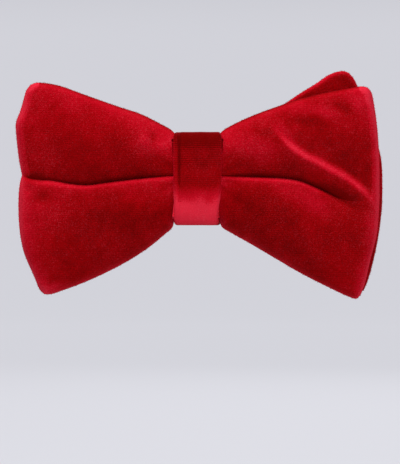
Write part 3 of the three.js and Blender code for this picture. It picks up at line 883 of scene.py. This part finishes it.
# The wrap's round, as y and z.
KNOT_LOOP = [(-3.2, 15.1), (-0.9, 14.6), (0.0, 12.4), (0.0, 0.0), (0.0, -12.8), (-0.9, -15.0), (-3.2, -15.8),
             (-10.5, -15.8), (-17.5, -15.9), (-21.2, -15.2), (-22.1, -13.2), (-22.2, -6), (-22.2, 0),
             (-22.2, 6), (-21.9, 12.0), (-20.6, 14.4), (-17.5, 15.1), (-10.5, 15.2), (-3.2, 15.1)]
KNOT_MIDDLE = (-11.1, 0)
KNOT_FRONT_Y = -15
KNOT_RIGHT = 7.95
KNOT_LEFT = 8.15
SEAM_Z = -9


def knot_round():
    """The wrap's round as columns of y and z, with its unit normals outwards."""
    ring = Line(KNOT_LOOP).at(np.linspace(0, 1, 421)[:-1])
    run = np.roll(ring, -1, 0) - np.roll(ring, 1, 0)
    normal = np.stack([run[:, 1], -run[:, 0]], 1)
    normal /= np.linalg.norm(normal, axis=1)[:, None]
    normal *= np.sign((normal * (ring - KNOT_MIDDLE)).sum(1))[:, None]
    return ring[:, :1], ring[:, 1:], normal


class BOWTIE_OT_knot(bpy.types.Operator):
    """Make the velvet wrap round the middle of both bows"""

    bl_idname = "bowtie.knot"
    bl_label = "Knot"

    def execute(self, context):
        y, z, normal = knot_round()
        across = np.concatenate([-clustered(40)[::-1], clustered(40)[1:]])
        # Past its edges the cloth is folded in, down to the bow.
        hem = np.linspace(1, 0, 7)[:-1]
        tucked = np.concatenate([hem, 0 * across, hem[::-1]])
        across = np.concatenate([0 * hem - 1, across, 0 * hem + 1])
        # The front narrows towards its bottom, more on the right.
        front = ease(-y, 13, 20.5)
        slim = ease(-y, 2, 21)
        right = KNOT_RIGHT - 0.15 * front - slim * 1.3 * ease(-z, 2, 15.5)
        left = KNOT_LEFT - 0.3 * slim * ease(-z, 2, 15)
        half = np.where(across < 0, left, right)
        x = half * across
        reach = half - np.abs(x)
        sunk = 1.3 * (1 - turned_edge(reach, 1.3))
        depth = 1.0 + 1.3 * ease(-y, 3, 6) + 0.7 * ease(-y, 14, 20) + 2.2 * ease(np.abs(z), 8.5, 12.5)
        sunk = sunk + depth * tucked
        x = x * (1 - 0.05 * tucked)
        # A pressed crease runs down the front's left side, and the strip outside it lies lower.
        crease = np.exp(-(((x + 6.15) / 0.42) ** 2)) * ease(z, -9, 3)
        strip = 0.3 * ease(-x, 5.9, 6.5)
        inward = sunk + front * (0.75 * crease + strip + 0.1 * unevenness(x, z, 7, 31))
        # The seam that closes the wrap at the back.
        inward = inward + 0.55 * np.exp(-(((z - SEAM_Z) / 0.5) ** 2)) * ease(y, -2, -0.5)
        grid = np.stack([x, y - normal[:, :1] * inward, z - normal[:, 1:] * inward], axis=-1)
        # On the front, painted light and shade: darker at the top and lighter and lighter towards the bottom,
        # painted shade in the crease, a painted highlight along the edges, and the rows shown near the top.
        lit = 0.06 + 0.13 * ease(-z, -11, -8) + 0.06 * ease(-z, -6, 2) + 0.85 * ease(-z, 1.5, 11)
        lit = lit + 0.12 * np.exp(-(((z + 12.5) / 3) ** 2)) - 0.25 * crease - 0.14 * ease(z, 9, 13)
        lit += 0.12 * ease(-x, 6.3, 6.9) + 0.3 * np.exp(-reach / 0.35) + 0.06 * unevenness(x, z, 5, 33)
        rib = 0.07 + 0.11 * np.exp(-(((z - 8.5) / 3.5) ** 2)) - 0.1 * ease(-z, 3, 8)
        # Behind the front, painted light: lighter where the cloth faces up.
        behind = grid[..., 1] > KNOT_FRONT_Y
        attributes = {
            "painted_light_and_tone": np.where(behind, 0.3 + 0.25 * normal[:, 1:], lit),
            "rib": np.where(behind, 0.07, rib),
        }
        piece = grid_mesh("knot_velvet_wrap", grid, closed=True, attributes=attributes)
        apply_modifier(piece, "SOLIDIFY", thickness=context.scene.bow_tie_velvet.cloth, offset=-1)
        smooth(piece)
        finished(piece, "velvet", "bow", ["knot_velvet"])
        return {"FINISHED"}


# ---- The neckband ----


def band_point(s, n):
    """The place in x and y of a point s along the neckband's circle and n outwards from it."""
    angle = s / RING_RADIUS
    radius = RING_RADIUS + n
    return np.stack([radius * np.sin(angle), RING_CENTRE.y - radius * np.cos(angle)], axis=-1)


def along(degrees):
    """How far along the neckband's circle an angle is, from the knot."""
    return math.radians(degrees) * RING_RADIUS


def arc_points(s, n, radius, start, end, count=9):
    angles = np.radians(np.linspace(start, end, count))
    return [(s + radius * math.cos(a), n + radius * math.sin(a)) for a in angles]


CLASP_S = along(CLASP_ANGLE)
SLIDE_S = along(SLIDE_ANGLE)
HOOK_FOLD_S = CLASP_S - 10
EYE_FOLD_S = CLASP_S + 10
HINGE_ANGLE = math.degrees(math.asin(LONG_HINGE.x / RING_RADIUS))
START_S = along(HINGE_ANGLE)
END_S = along(360 - HINGE_ANGLE)
LOOP_THICKNESS = 0.8


def ribbon_section(thickness, seam_side):
    """A pressed ribbon's outline in z and n, with its centre seam pressed in on one side."""
    half, rim = thickness / 2, thickness * 0.45
    turns = np.linspace(-math.pi / 2, math.pi / 2, 7)
    corner = [(BAND_WIDTH / 2 - rim + rim * math.cos(a), half * math.sin(a)) for a in turns]
    seam = {0.12: 0.16, 0: 0.24, -0.12: 0.16}

    def face(has_seam):
        places = (6.4, 5.4, 3.2, 0.9, 0.35, 0.12, 0, -0.12, -0.35, -0.9, -3.2, -5.4, -6.4)
        return [(z, half - seam.get(z, 0) * has_seam) for z in places]

    # The second half is the first one turned half round, apart from the seam.
    section = corner + face(seam_side > 0)
    return np.array(section + [(-z, -n) for z, n in corner + face(seam_side < 0)])


def ribbon(name, path, thickness=BAND_THICKNESS, seam_side=-1):
    """A ribbon swept along a path in x and y; seam_side is 1 for a seam on its left as it runs."""
    path = np.array(path, float)
    tangent = np.gradient(path, axis=0)
    tangent /= np.linalg.norm(tangent, axis=1)[:, None]
    left = np.stack([-tangent[:, 1], tangent[:, 0]], 1)
    section = ribbon_section(thickness, seam_side)
    rows, columns = len(path), len(section)
    place = path[:, None] + left[:, None] * section[None, :, 1:]
    grid = np.dstack([place, np.broadcast_to(section[:, 0], (rows, columns))])
    faces = grid_faces(rows, columns)
    faces.append(tuple(range(columns))[::-1])
    faces.append(tuple((rows - 1) * columns + c for c in range(columns)))
    piece = new_piece(name, (grid.reshape(-1, 3) * MM).tolist(), faces)
    lengths, widths = (np.concatenate([[0], np.cumsum(steps_of(line))]) for line in (path, section))
    uv = piece.data.uv_layers.new(name="UVMap")
    for loop in piece.data.loops:
        row, column = divmod(loop.vertex_index, columns)
        uv.data[loop.index].uv = (lengths[row] * MM, widths[column] * MM)
    face_outwards(piece)
    smooth(piece, 50)
    return piece


def circle_path(points, step=1.2):
    """Points in s and n, with more on long runs, as places in x and y."""
    places = []
    for (s0, n0), (s1, n1) in zip(points, points[1:]):
        count = max(1, int(abs(s1 - s0) / step))
        for k in range(count):
            share = k / count
            places.append((s0 + (s1 - s0) * share, n0 + (n1 - n0) * share))
    places.append(points[-1])
    s, n = np.array(places).T
    return band_point(s, n)


class BOWTIE_OT_neckband(bpy.types.Operator):
    """Make the satin neckband: its long half, its short half and the layer that returns to the slide"""

    bl_idname = "bowtie.neckband"
    bl_label = "Neckband"

    def execute(self, context):
        fold = FOLD_IN + BAND_FACE
        inner = BAR_N - fold
        return_s = HOOK_FOLD_S - 4.0
        tail_s = SLIDE_S + 14.3
        straight = [(x, BAND_MIDDLE_Y) for x in np.linspace(0, START_S * 0.9, 12)]
        round_hook = arc_points(HOOK_FOLD_S, BAR_N, fold, 82, -90)
        round_eye = arc_points(EYE_FOLD_S, BAR_N, fold, 98, 270)

        long_path = [*straight, *circle_path(
            [(START_S * 0.97, 0), (HOOK_FOLD_S, 0), *round_hook, (return_s, inner)]
        )]
        long_band = ribbon("neckband_long_half", long_path, seam_side=1)
        finished(long_band, "satin", None, ["band_centre", "band_long"])
        # The long half comes back round to the other side, so a slanted turn keeps all of it ahead.
        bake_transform(long_band)

        short_path = [*((-x, y) for x, y in straight), *circle_path(
            [(END_S + START_S * 0.03, 0), (EYE_FOLD_S, 0), *round_eye, (EYE_FOLD_S + 16, inner)]
        )]
        short_band = ribbon("neckband_short_half", short_path, seam_side=-1)
        finished(short_band, "satin", None, ["band_short"])
        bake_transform(short_band)

        return_path = circle_path([(return_s, inner), (tail_s, inner)], step=0.6)
        returning = ribbon("neckband_return", return_path, seam_side=-1)
        finished(returning, "satin", None, ["band_return"])
        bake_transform(returning)

        # The end loop's layers lie at levels a little to each side of the bar that they go round.
        apart, neck_s = 0.45, SLIDE_S + 3.2
        round_bar_points = arc_points(SLIDE_S, SLIDE_BAR_N, 0.85, 285, 75, 13)
        under, over = SLIDE_BAR_N - apart, SLIDE_BAR_N + apart
        loop_path = circle_path(
            [(tail_s, under), (neck_s, under), *round_bar_points, (neck_s, over), (tail_s, over)]
        )
        end_loop = ribbon("neckband_end_loop", loop_path, thickness=LOOP_THICKNESS)
        finished(end_loop, "satin", "slide", ["band_end_loop"])
        return {"FINISHED"}


# ---- Metal fittings, modelled flat in s, n and z and then bent to the band's circle ----

METAL_HALF = 10.2
WINDOW_HALF = 8.6
STRIP_THICKNESS = 0.8
BAR_RADIUS = 0.45
# Pieces that meet a face of another are a little narrower, so that no two faces lie in one plane.
SHY = 0.04


def rounded_corners(outline, radius, segments=6):
    """An outline with each corner turned into a short curve."""
    points = []
    for before, corner, after in zip([outline[-1], *outline[:-1]], outline, [*outline[1:], outline[0]]):
        corner = Vector(corner)
        back, on = (Vector(p) - corner for p in (before, after))
        reach = min(radius, back.length * 0.45, on.length * 0.45)
        start, end = corner + back.normalized() * reach, corner + on.normalized() * reach
        for t in np.linspace(0, 1, segments):
            points.append((start * (1 - t) ** 2 + corner * 2 * t * (1 - t) + end * t**2)[:])
    return points


def extruded(name, outline, place, move):
    """A solid made by extruding a filled outline; place turns an outline point into s, n and z."""
    piece = new_piece(name, [place(*point) for point in outline], [tuple(range(len(outline)))])
    select_all_of(piece)
    bpy.ops.mesh.extrude_region_move(TRANSFORM_OT_translate={"value": move})
    bpy.ops.object.mode_set(mode="OBJECT")
    face_outwards(piece)
    return piece


def plate(name, outline, low, high):
    """A plate with its outline in s and z, between two levels of n."""
    return extruded(name, outline, lambda s, z: (s, low, z), (0, high - low, 0))


def side(name, outline, low, high):
    """A bent strip with its outline in s and n, between two heights."""
    return extruded(name, outline, lambda s, n: (s, n, low), (0, 0, high - low))


def both_sides(name, outline, low, high):
    """The same strip at the top and at the bottom."""
    return [side(f"upper_{name}", outline, low, high), side(f"lower_{name}", outline, -high, -low)]


def bent_strip(centre, thickness):
    """The outline of a strip of even thickness that follows smooth bends through a few points."""
    line = Line(centre, fine=7).points
    run = np.gradient(line, axis=0)
    run /= np.linalg.norm(run, axis=1)[:, None]
    off = np.stack([-run[:, 1], run[:, 0]], 1) * thickness / 2
    return [tuple(p) for p in np.concatenate([line + off, (line - off)[::-1]])]


def rectangle(s0, s1, half):
    return [(s0, -half), (s1, -half), (s1, half), (s0, half)]


def cut_away(piece, tool):
    """Cuts a solid out of a piece, and removes it."""
    apply_modifier(piece, "BOOLEAN", operation="DIFFERENCE", solver="EXACT", object=tool)
    bpy.data.objects.remove(tool)


def frame_plate(name, s0, s1, window, low, high, corner):
    """A flat frame with rounded corners, pierced by a window from window[0] to window[1] along the band."""
    piece = plate(name, rounded_corners(rectangle(s0, s1, METAL_HALF), corner), low, high)
    opening = rounded_corners(rectangle(*window, WINDOW_HALF), corner * 0.5)
    cut_away(piece, plate("window", opening, low - 1, high + 1))
    return piece


def round_bar(s, n):
    """A round bar that stands across the band, with its ends sunk in the metal beside the window."""
    bpy.ops.object.select_all(action="DESELECT")
    bpy.ops.mesh.primitive_cylinder_add(
        vertices=24, radius=BAR_RADIUS, depth=2 * WINDOW_HALF + 0.8, location=(s, n, 0)
    )
    piece = bpy.context.active_object
    bpy.ops.object.transform_apply(location=True, rotation=True, scale=True)
    return piece


def finish_metal(name, pieces, edge, s0, body, node):
    """Rounds the edges, joins the pieces, bends them to the band's circle and places them."""
    for piece in pieces:
        apply_modifier(
            piece, "BEVEL", width=edge, segments=3, limit_method="ANGLE", angle_limit=math.radians(35),
            use_clamp_overlap=True,
        )
    select_only(*pieces)
    bpy.ops.object.join()
    metal = bpy.context.active_object
    metal.name = metal.data.name = name
    reach = [corner[0] for corner in metal.bound_box]
    # Cuts a millimetre apart let it follow the curve; they miss the round numbers that edges lie on.
    for cut in np.arange(math.ceil(min(reach)), max(reach), 1.0):
        select_all_of(metal)
        bpy.ops.mesh.bisect(plane_co=(cut + 0.013, 0, 0), plane_no=(1, 0, 0))
        bpy.ops.object.mode_set(mode="OBJECT")
    co = np.empty(len(metal.data.vertices) * 3)
    metal.data.vertices.foreach_get("co", co)
    co = co.reshape(-1, 3)
    places = band_point(s0 + co[:, 0], co[:, 1])
    metal.data.vertices.foreach_set("co", (np.column_stack([places, co[:, 2]]) * MM).ravel())
    metal.data.update()
    select_all_of(metal)
    bpy.ops.mesh.remove_doubles(threshold=1e-6)
    bpy.ops.object.mode_set(mode="OBJECT")
    face_outwards(metal)
    smooth(metal, 35)
    return finished(metal, "nickel", body, [node])


class BOWTIE_OT_eye(bpy.types.Operator):
    """Make the eye: a rounded frame of flattened wire"""

    bl_idname = "bowtie.eye"
    bl_label = "Eye"

    def execute(self, context):
        eye = frame_plate("eye", -0.5, 10.5, (0.5, 9.5), BAR_N - 0.5, BAR_N + 0.5, 1.6)
        finish_metal("clasp_eye", [eye], 0.4, CLASP_S, "short_band", "eye")
        return {"FINISHED"}


class BOWTIE_OT_hook(bpy.types.Operator):
    """Make the hook: a plate with two cheeks, a round bar for the band and a splayed tongue"""

    bl_idname = "bowtie.hook"
    bl_label = "Hook"

    def execute(self, context):
        out = BAND_FACE
        shoulders = [
            (-7.8, -METAL_HALF), (-5.4, -METAL_HALF), (-2.2, -6), (2.3, -6),
            (2.3, 6), (-2.2, 6), (-5.4, METAL_HALF), (-7.8, METAL_HALF),
        ]
        hook = plate("hook", rounded_corners(shoulders, 1.4), out - 0.85, out)
        pressed = rounded_corners(rectangle(-6.2, 1.1, 4.4), 1.2)
        cut_away(hook, plate("pressed_panel", pressed, out - 0.25, out + 1))
        cheek = bent_strip([
            (-6.2, out - 0.45), (-7.4, out - 0.47), (-8.7, out - 0.9),
            (-9.6, BAR_N + 0.3), (-10.6, BAR_N - 0.1),
        ], STRIP_THICKNESS)
        tongue = bent_strip([
            (1.2, out - 0.48), (1.9, out - 0.8), (2.15, -1.4), (1.9, -2.6), (1.2, -3.6), (0.5, -4.3),
        ], STRIP_THICKNESS)
        pieces = [
            hook,
            *both_sides("cheek", cheek, WINDOW_HALF, METAL_HALF - SHY),
            side("tongue", tongue, -5.95, 5.95),
            round_bar(-10, BAR_N),
        ]
        finish_metal("clasp_hook", pieces, 0.2, CLASP_S, "long_band", "hook")
        return {"FINISHED"}


class BOWTIE_OT_slide(bpy.types.Operator):
    """Make the slide: a frame with two flat bars outside the band and a round one inside it"""

    bl_idname = "bowtie.slide"
    bl_label = "Slide"

    def execute(self, context):
        low, high = 0.8, 1.6
        level = (low + high) / 2
        slide = frame_plate("slide", -7, 7, (-5.4, 5.4), low, high, 1.5)
        down = [(-4.2, level), (-3.2, level), (-2.3, level - 0.5), (-1.3, SLIDE_BAR_N + 0.35)]
        up = [(-s, n) for s, n in down[::-1]]
        dip = bent_strip([*down, (0, SLIDE_BAR_N), *up], high - low - 0.1)
        pieces = [
            slide,
            *both_sides("dip", dip, WINDOW_HALF + SHY, METAL_HALF - SHY),
            round_bar(0, SLIDE_BAR_N),
        ]
        finish_metal("band_slide", pieces, 0.22, SLIDE_S, "slide", "slide_buckle")
        return {"FINISHED"}


# ---- Thread and label ----


def thread_piece(name, strands, radius=0.22):
    """Strands of thread along lines of points in millimetres, as one mesh."""
    curve = bpy.data.curves.new(name, "CURVE")
    curve.dimensions = "3D"
    curve.bevel_depth = radius * MM
    curve.bevel_resolution = 2
    curve.use_fill_caps = True
    for points in strands:
        spline = curve.splines.new("POLY")
        spline.points.add(len(points) - 1)
        for point, place in zip(spline.points, points):
            point.co = (*(Vector(place) * MM), 1)
    select_only(in_scene(name, curve))
    bpy.ops.object.convert(target="MESH")
    piece = bpy.context.active_object
    smooth(piece)
    return piece


def stitch(place):
    """A stitch's points, from its share of length and how far it is humped, from 0 to 1 and back."""
    return [place(t, math.sin(math.pi * t)) for t in np.linspace(0, 1, 7)]


def bar_tack_strands(s, n, count=26):
    """Close zigzag stitches across the band, each one humped over the cloth."""
    strands = []
    for i in range(count):
        z = (BAND_WIDTH - 3.2) * (i / (count - 1) - 0.5)
        slope = 0.3 if i % 2 else -0.3
        strands.append(stitch(
            lambda t, hump: (*band_point(s - 0.9 + 1.8 * t, n - 0.24 * hump), z + slope * t)
        ))
    return strands


class BOWTIE_OT_stitches(bpy.types.Operator):
    """Make the bar tacks on the band and the stitches that close the knot"""

    bl_idname = "bowtie.stitches"
    bl_label = "Stitches"

    def execute(self, context):
        inner = BAR_N - FOLD_IN - BAND_THICKNESS
        short = thread_piece("short_band_bar_tack", bar_tack_strands(EYE_FOLD_S + 5, inner))
        finished(short, "thread", "short_band", ["band_short_bar_tack"])
        end = thread_piece("end_loop_bar_tack", bar_tack_strands(SLIDE_S + 9, SLIDE_BAR_N - 0.85))
        finished(end, "thread", "slide", ["band_end_bar_tack"])
        strands = []
        for i in range(9):
            x = -6.2 + 1.55 * i
            strands.append(stitch(
                lambda t, hump: (x + 0.35 * t, -0.25 + 0.34 * hump, SEAM_Z + 1.3 * (t - 0.5))
            ))
        closing = thread_piece("knot_ladder_stitches", strands, 0.16)
        finished(closing, "thread", "bow", ["knot_closing_stitch"])
        set_material(frame["nodes"]["waist_binding_thread"], "thread")
        return {"FINISHED"}


class BOWTIE_OT_label(bpy.types.Operator):
    """Make the blank woven label inside the short half"""

    bl_idname = "bowtie.label"
    bl_label = "Label"

    def execute(self, context):
        start, end = (along(angle) for angle in LABEL_ANGLES)
        s = np.linspace(start, end, 40)
        z = np.linspace(-6, 6, 24)
        edge = np.minimum.outer(6 - np.abs(z), np.minimum(s - start, end - s))
        places = band_point(np.broadcast_to(s, edge.shape), -BAND_FACE - 0.12 - 0.06 * ease(edge, 0, 1.2))
        grid = np.dstack([places, np.broadcast_to(z[:, None], edge.shape)])
        piece = grid_mesh("blank_woven_label", grid)
        apply_modifier(piece, "SOLIDIFY", thickness=0.25 * MM, offset=1)
        smooth(piece, 50)
        finished(piece, "label", "short_band", ["blank_label"])
        # Two short stitches over each corner of the label.
        strands = []
        for s, inwards in ((start, 1), (end, -1)):
            for z in (-5.4, -4.6, 4.6, 5.4):
                strands.append(stitch(lambda t, hump: (
                    *band_point(s + inwards * (1.9 * t - 0.7), -BAND_FACE - 0.1 - 0.45 * hump), z
                )))
        finished(thread_piece("label_corner_stitches", strands, 0.14), "thread", "short_band")
        return {"FINISHED"}


class BOWTIE_OT_interlinings(bpy.types.Operator):
    """Give the interlinings inside the bows and the knot their woven finish"""

    bl_idname = "bowtie.interlinings"
    bl_label = "Interlinings"

    def execute(self, context):
        for name in ("front_bow_interlining", "back_bow_interlining", "knot_interlining"):
            set_material(frame["nodes"][name], "interlining")
        return {"FINISHED"}


# ---- Stage, in metres ----

FLOOR_Z = -0.16
WALL_RADIUS = 3.2
WALL_BEND = 0.9
WALL_TOP = 3.0
# Name, place, width and height, and watts.
LIGHTS = [
    ("top_softbox", (-0.12, -0.3, 0.75), (0.8, 0.5), 6.4),
    ("front_fill", (0.3, -1.1, 0.0), (0.8, 0.8), 1.8),
    ("low_bounce", (0.15, -0.5, -0.7), (0.9, 0.5), 1.9),
    ("back_fill", (0.2, 1.1, 0.5), (0.8, 0.8), 3.0),
]


class BOWTIE_OT_stage(bpy.types.Operator):
    """Make the pale floor and backdrop, the lights and the camera"""

    bl_idname = "bowtie.stage"
    bl_label = "Stage"

    def execute(self, context):
        scene = context.scene
        scene.view_settings.view_transform = "Standard"
        scene.view_settings.look = "None"
        self.backdrop(scene.bow_tie_stage)
        self.camera(scene.bow_tie_stage)
        scene.world = bpy.data.worlds.new("studio")
        scene.world.use_nodes = True
        background = scene.world.node_tree.nodes["Background"]
        set_inputs(background, {"Color": hex_colour("#E4E8F2"), "Strength": 0.34})
        for light in LIGHTS:
            self.light(*light)
        return {"FINISHED"}

    def backdrop(self, settings):
        """A pale floor that curves up into a wall all round, far enough out to stay behind every camera."""
        profile = [(0.0, FLOOR_Z), (WALL_RADIUS - WALL_BEND, FLOOR_Z)]
        for angle in np.linspace(0, math.pi / 2, 12)[1:]:
            out, up = math.sin(angle), 1 - math.cos(angle)
            profile.append((WALL_RADIUS - WALL_BEND + WALL_BEND * out, FLOOR_Z + WALL_BEND * up))
        profile.append((WALL_RADIUS, WALL_TOP))
        turns = np.linspace(0, 2 * math.pi, 65)[:-1]
        vertices = [(r * math.cos(a), r * math.sin(a), z) for r, z in profile for a in turns]
        piece = new_piece("backdrop", vertices, grid_faces(len(profile), len(turns)))
        smooth(piece)
        material, node, shader = new_material("lit_matt_paper_backdrop")
        # Only the metal and the satin see the upper wall, and it is dark enough to give them contrast.
        height = node("ShaderNodeSeparateXYZ", {"Vector": node(COORDINATES, output="Object")}, "Z")
        fade = {"Value": height, "From Min": 0.35, "From Max": 1.0, "To Min": 0.86, "To Max": 0.06}
        set_inputs(shader, {
            "Base Color": tuple(0.2 * c for c in settings.backdrop[:3]) + (1.0,),
            "Roughness": 0.9,
            "Emission Color": settings.backdrop,
            "Emission Strength": node(MAP_RANGE, fade, interpolation_type="SMOOTHSTEP"),
        })
        piece.data.materials.append(material)
        piece.visible_diffuse = piece.visible_shadow = False

    def camera(self, settings):
        """A long lens straight in front of the bow, a little below the knot's middle."""
        data = bpy.data.cameras.new("camera")
        camera = in_scene("camera", data)
        data.sensor_width = 36.0
        data.lens = data.sensor_width * settings.distance / settings.span
        data.clip_start, data.clip_end = 0.01, 20.0
        camera.location = (0.0007, -settings.distance - 0.015, -0.0182)
        camera.rotation_euler = (math.pi / 2, 0, 0)
        bpy.context.scene.camera = camera

    def light(self, name, place, size, watts):
        """A soft rectangular light that points at the knot."""
        data = bpy.data.lights.new(name, "AREA")
        data.shape = "RECTANGLE"
        data.size, data.size_y = size
        data.energy = watts
        lamp = in_scene(name, data)
        lamp.location = place
        lamp.rotation_euler = (-Vector(place)).to_track_quat("-Z", "Y").to_euler()


# ---- Registration ----

PIECE_OPERATORS = [
    BOWTIE_OT_stage,
    BOWTIE_OT_front_bow,
    BOWTIE_OT_back_bow,
    BOWTIE_OT_knot,
    BOWTIE_OT_interlinings,
    BOWTIE_OT_neckband,
    BOWTIE_OT_eye,
    BOWTIE_OT_hook,
    BOWTIE_OT_slide,
    BOWTIE_OT_label,
    BOWTIE_OT_stitches,
]
SETTINGS = {
    "bow_tie_velvet": BowTieVelvetSettings,
    "bow_tie_bow": BowTieBowSettings,
    "bow_tie_band": BowTieBandSettings,
    "bow_tie_stage": BowTieStageSettings,
}


class BOWTIE_PT_panel(bpy.types.Panel):
    """Sizes, colours and the steps that make the bow tie"""

    bl_label = "Bow Tie"
    bl_idname = "BOWTIE_PT_panel"
    bl_space_type = "VIEW_3D"
    bl_region_type = "UI"
    bl_category = "Bow Tie"

    def draw(self, context):
        for name, group in SETTINGS.items():
            box = self.layout.box()
            for key in group.__annotations__:
                box.prop(getattr(context.scene, name), key)
        for operator in PIECE_OPERATORS:
            self.layout.operator(operator.bl_idname)


def register():
    for cls in (*SETTINGS.values(), *PIECE_OPERATORS, BOWTIE_PT_panel):
        bpy.utils.register_class(cls)
    for name, group in SETTINGS.items():
        setattr(bpy.types.Scene, name, bpy.props.PointerProperty(type=group))


def unregister():
    for name in SETTINGS:
        delattr(bpy.types.Scene, name)
    for cls in (BOWTIE_PT_panel, *reversed(PIECE_OPERATORS), *reversed(SETTINGS.values())):
        bpy.utils.unregister_class(cls)


def main():
    register()
    for operator in PIECE_OPERATORS:
        group, name = operator.bl_idname.split(".")
        getattr(getattr(bpy.ops, group), name)()


if __name__ == "__main__":
    main()
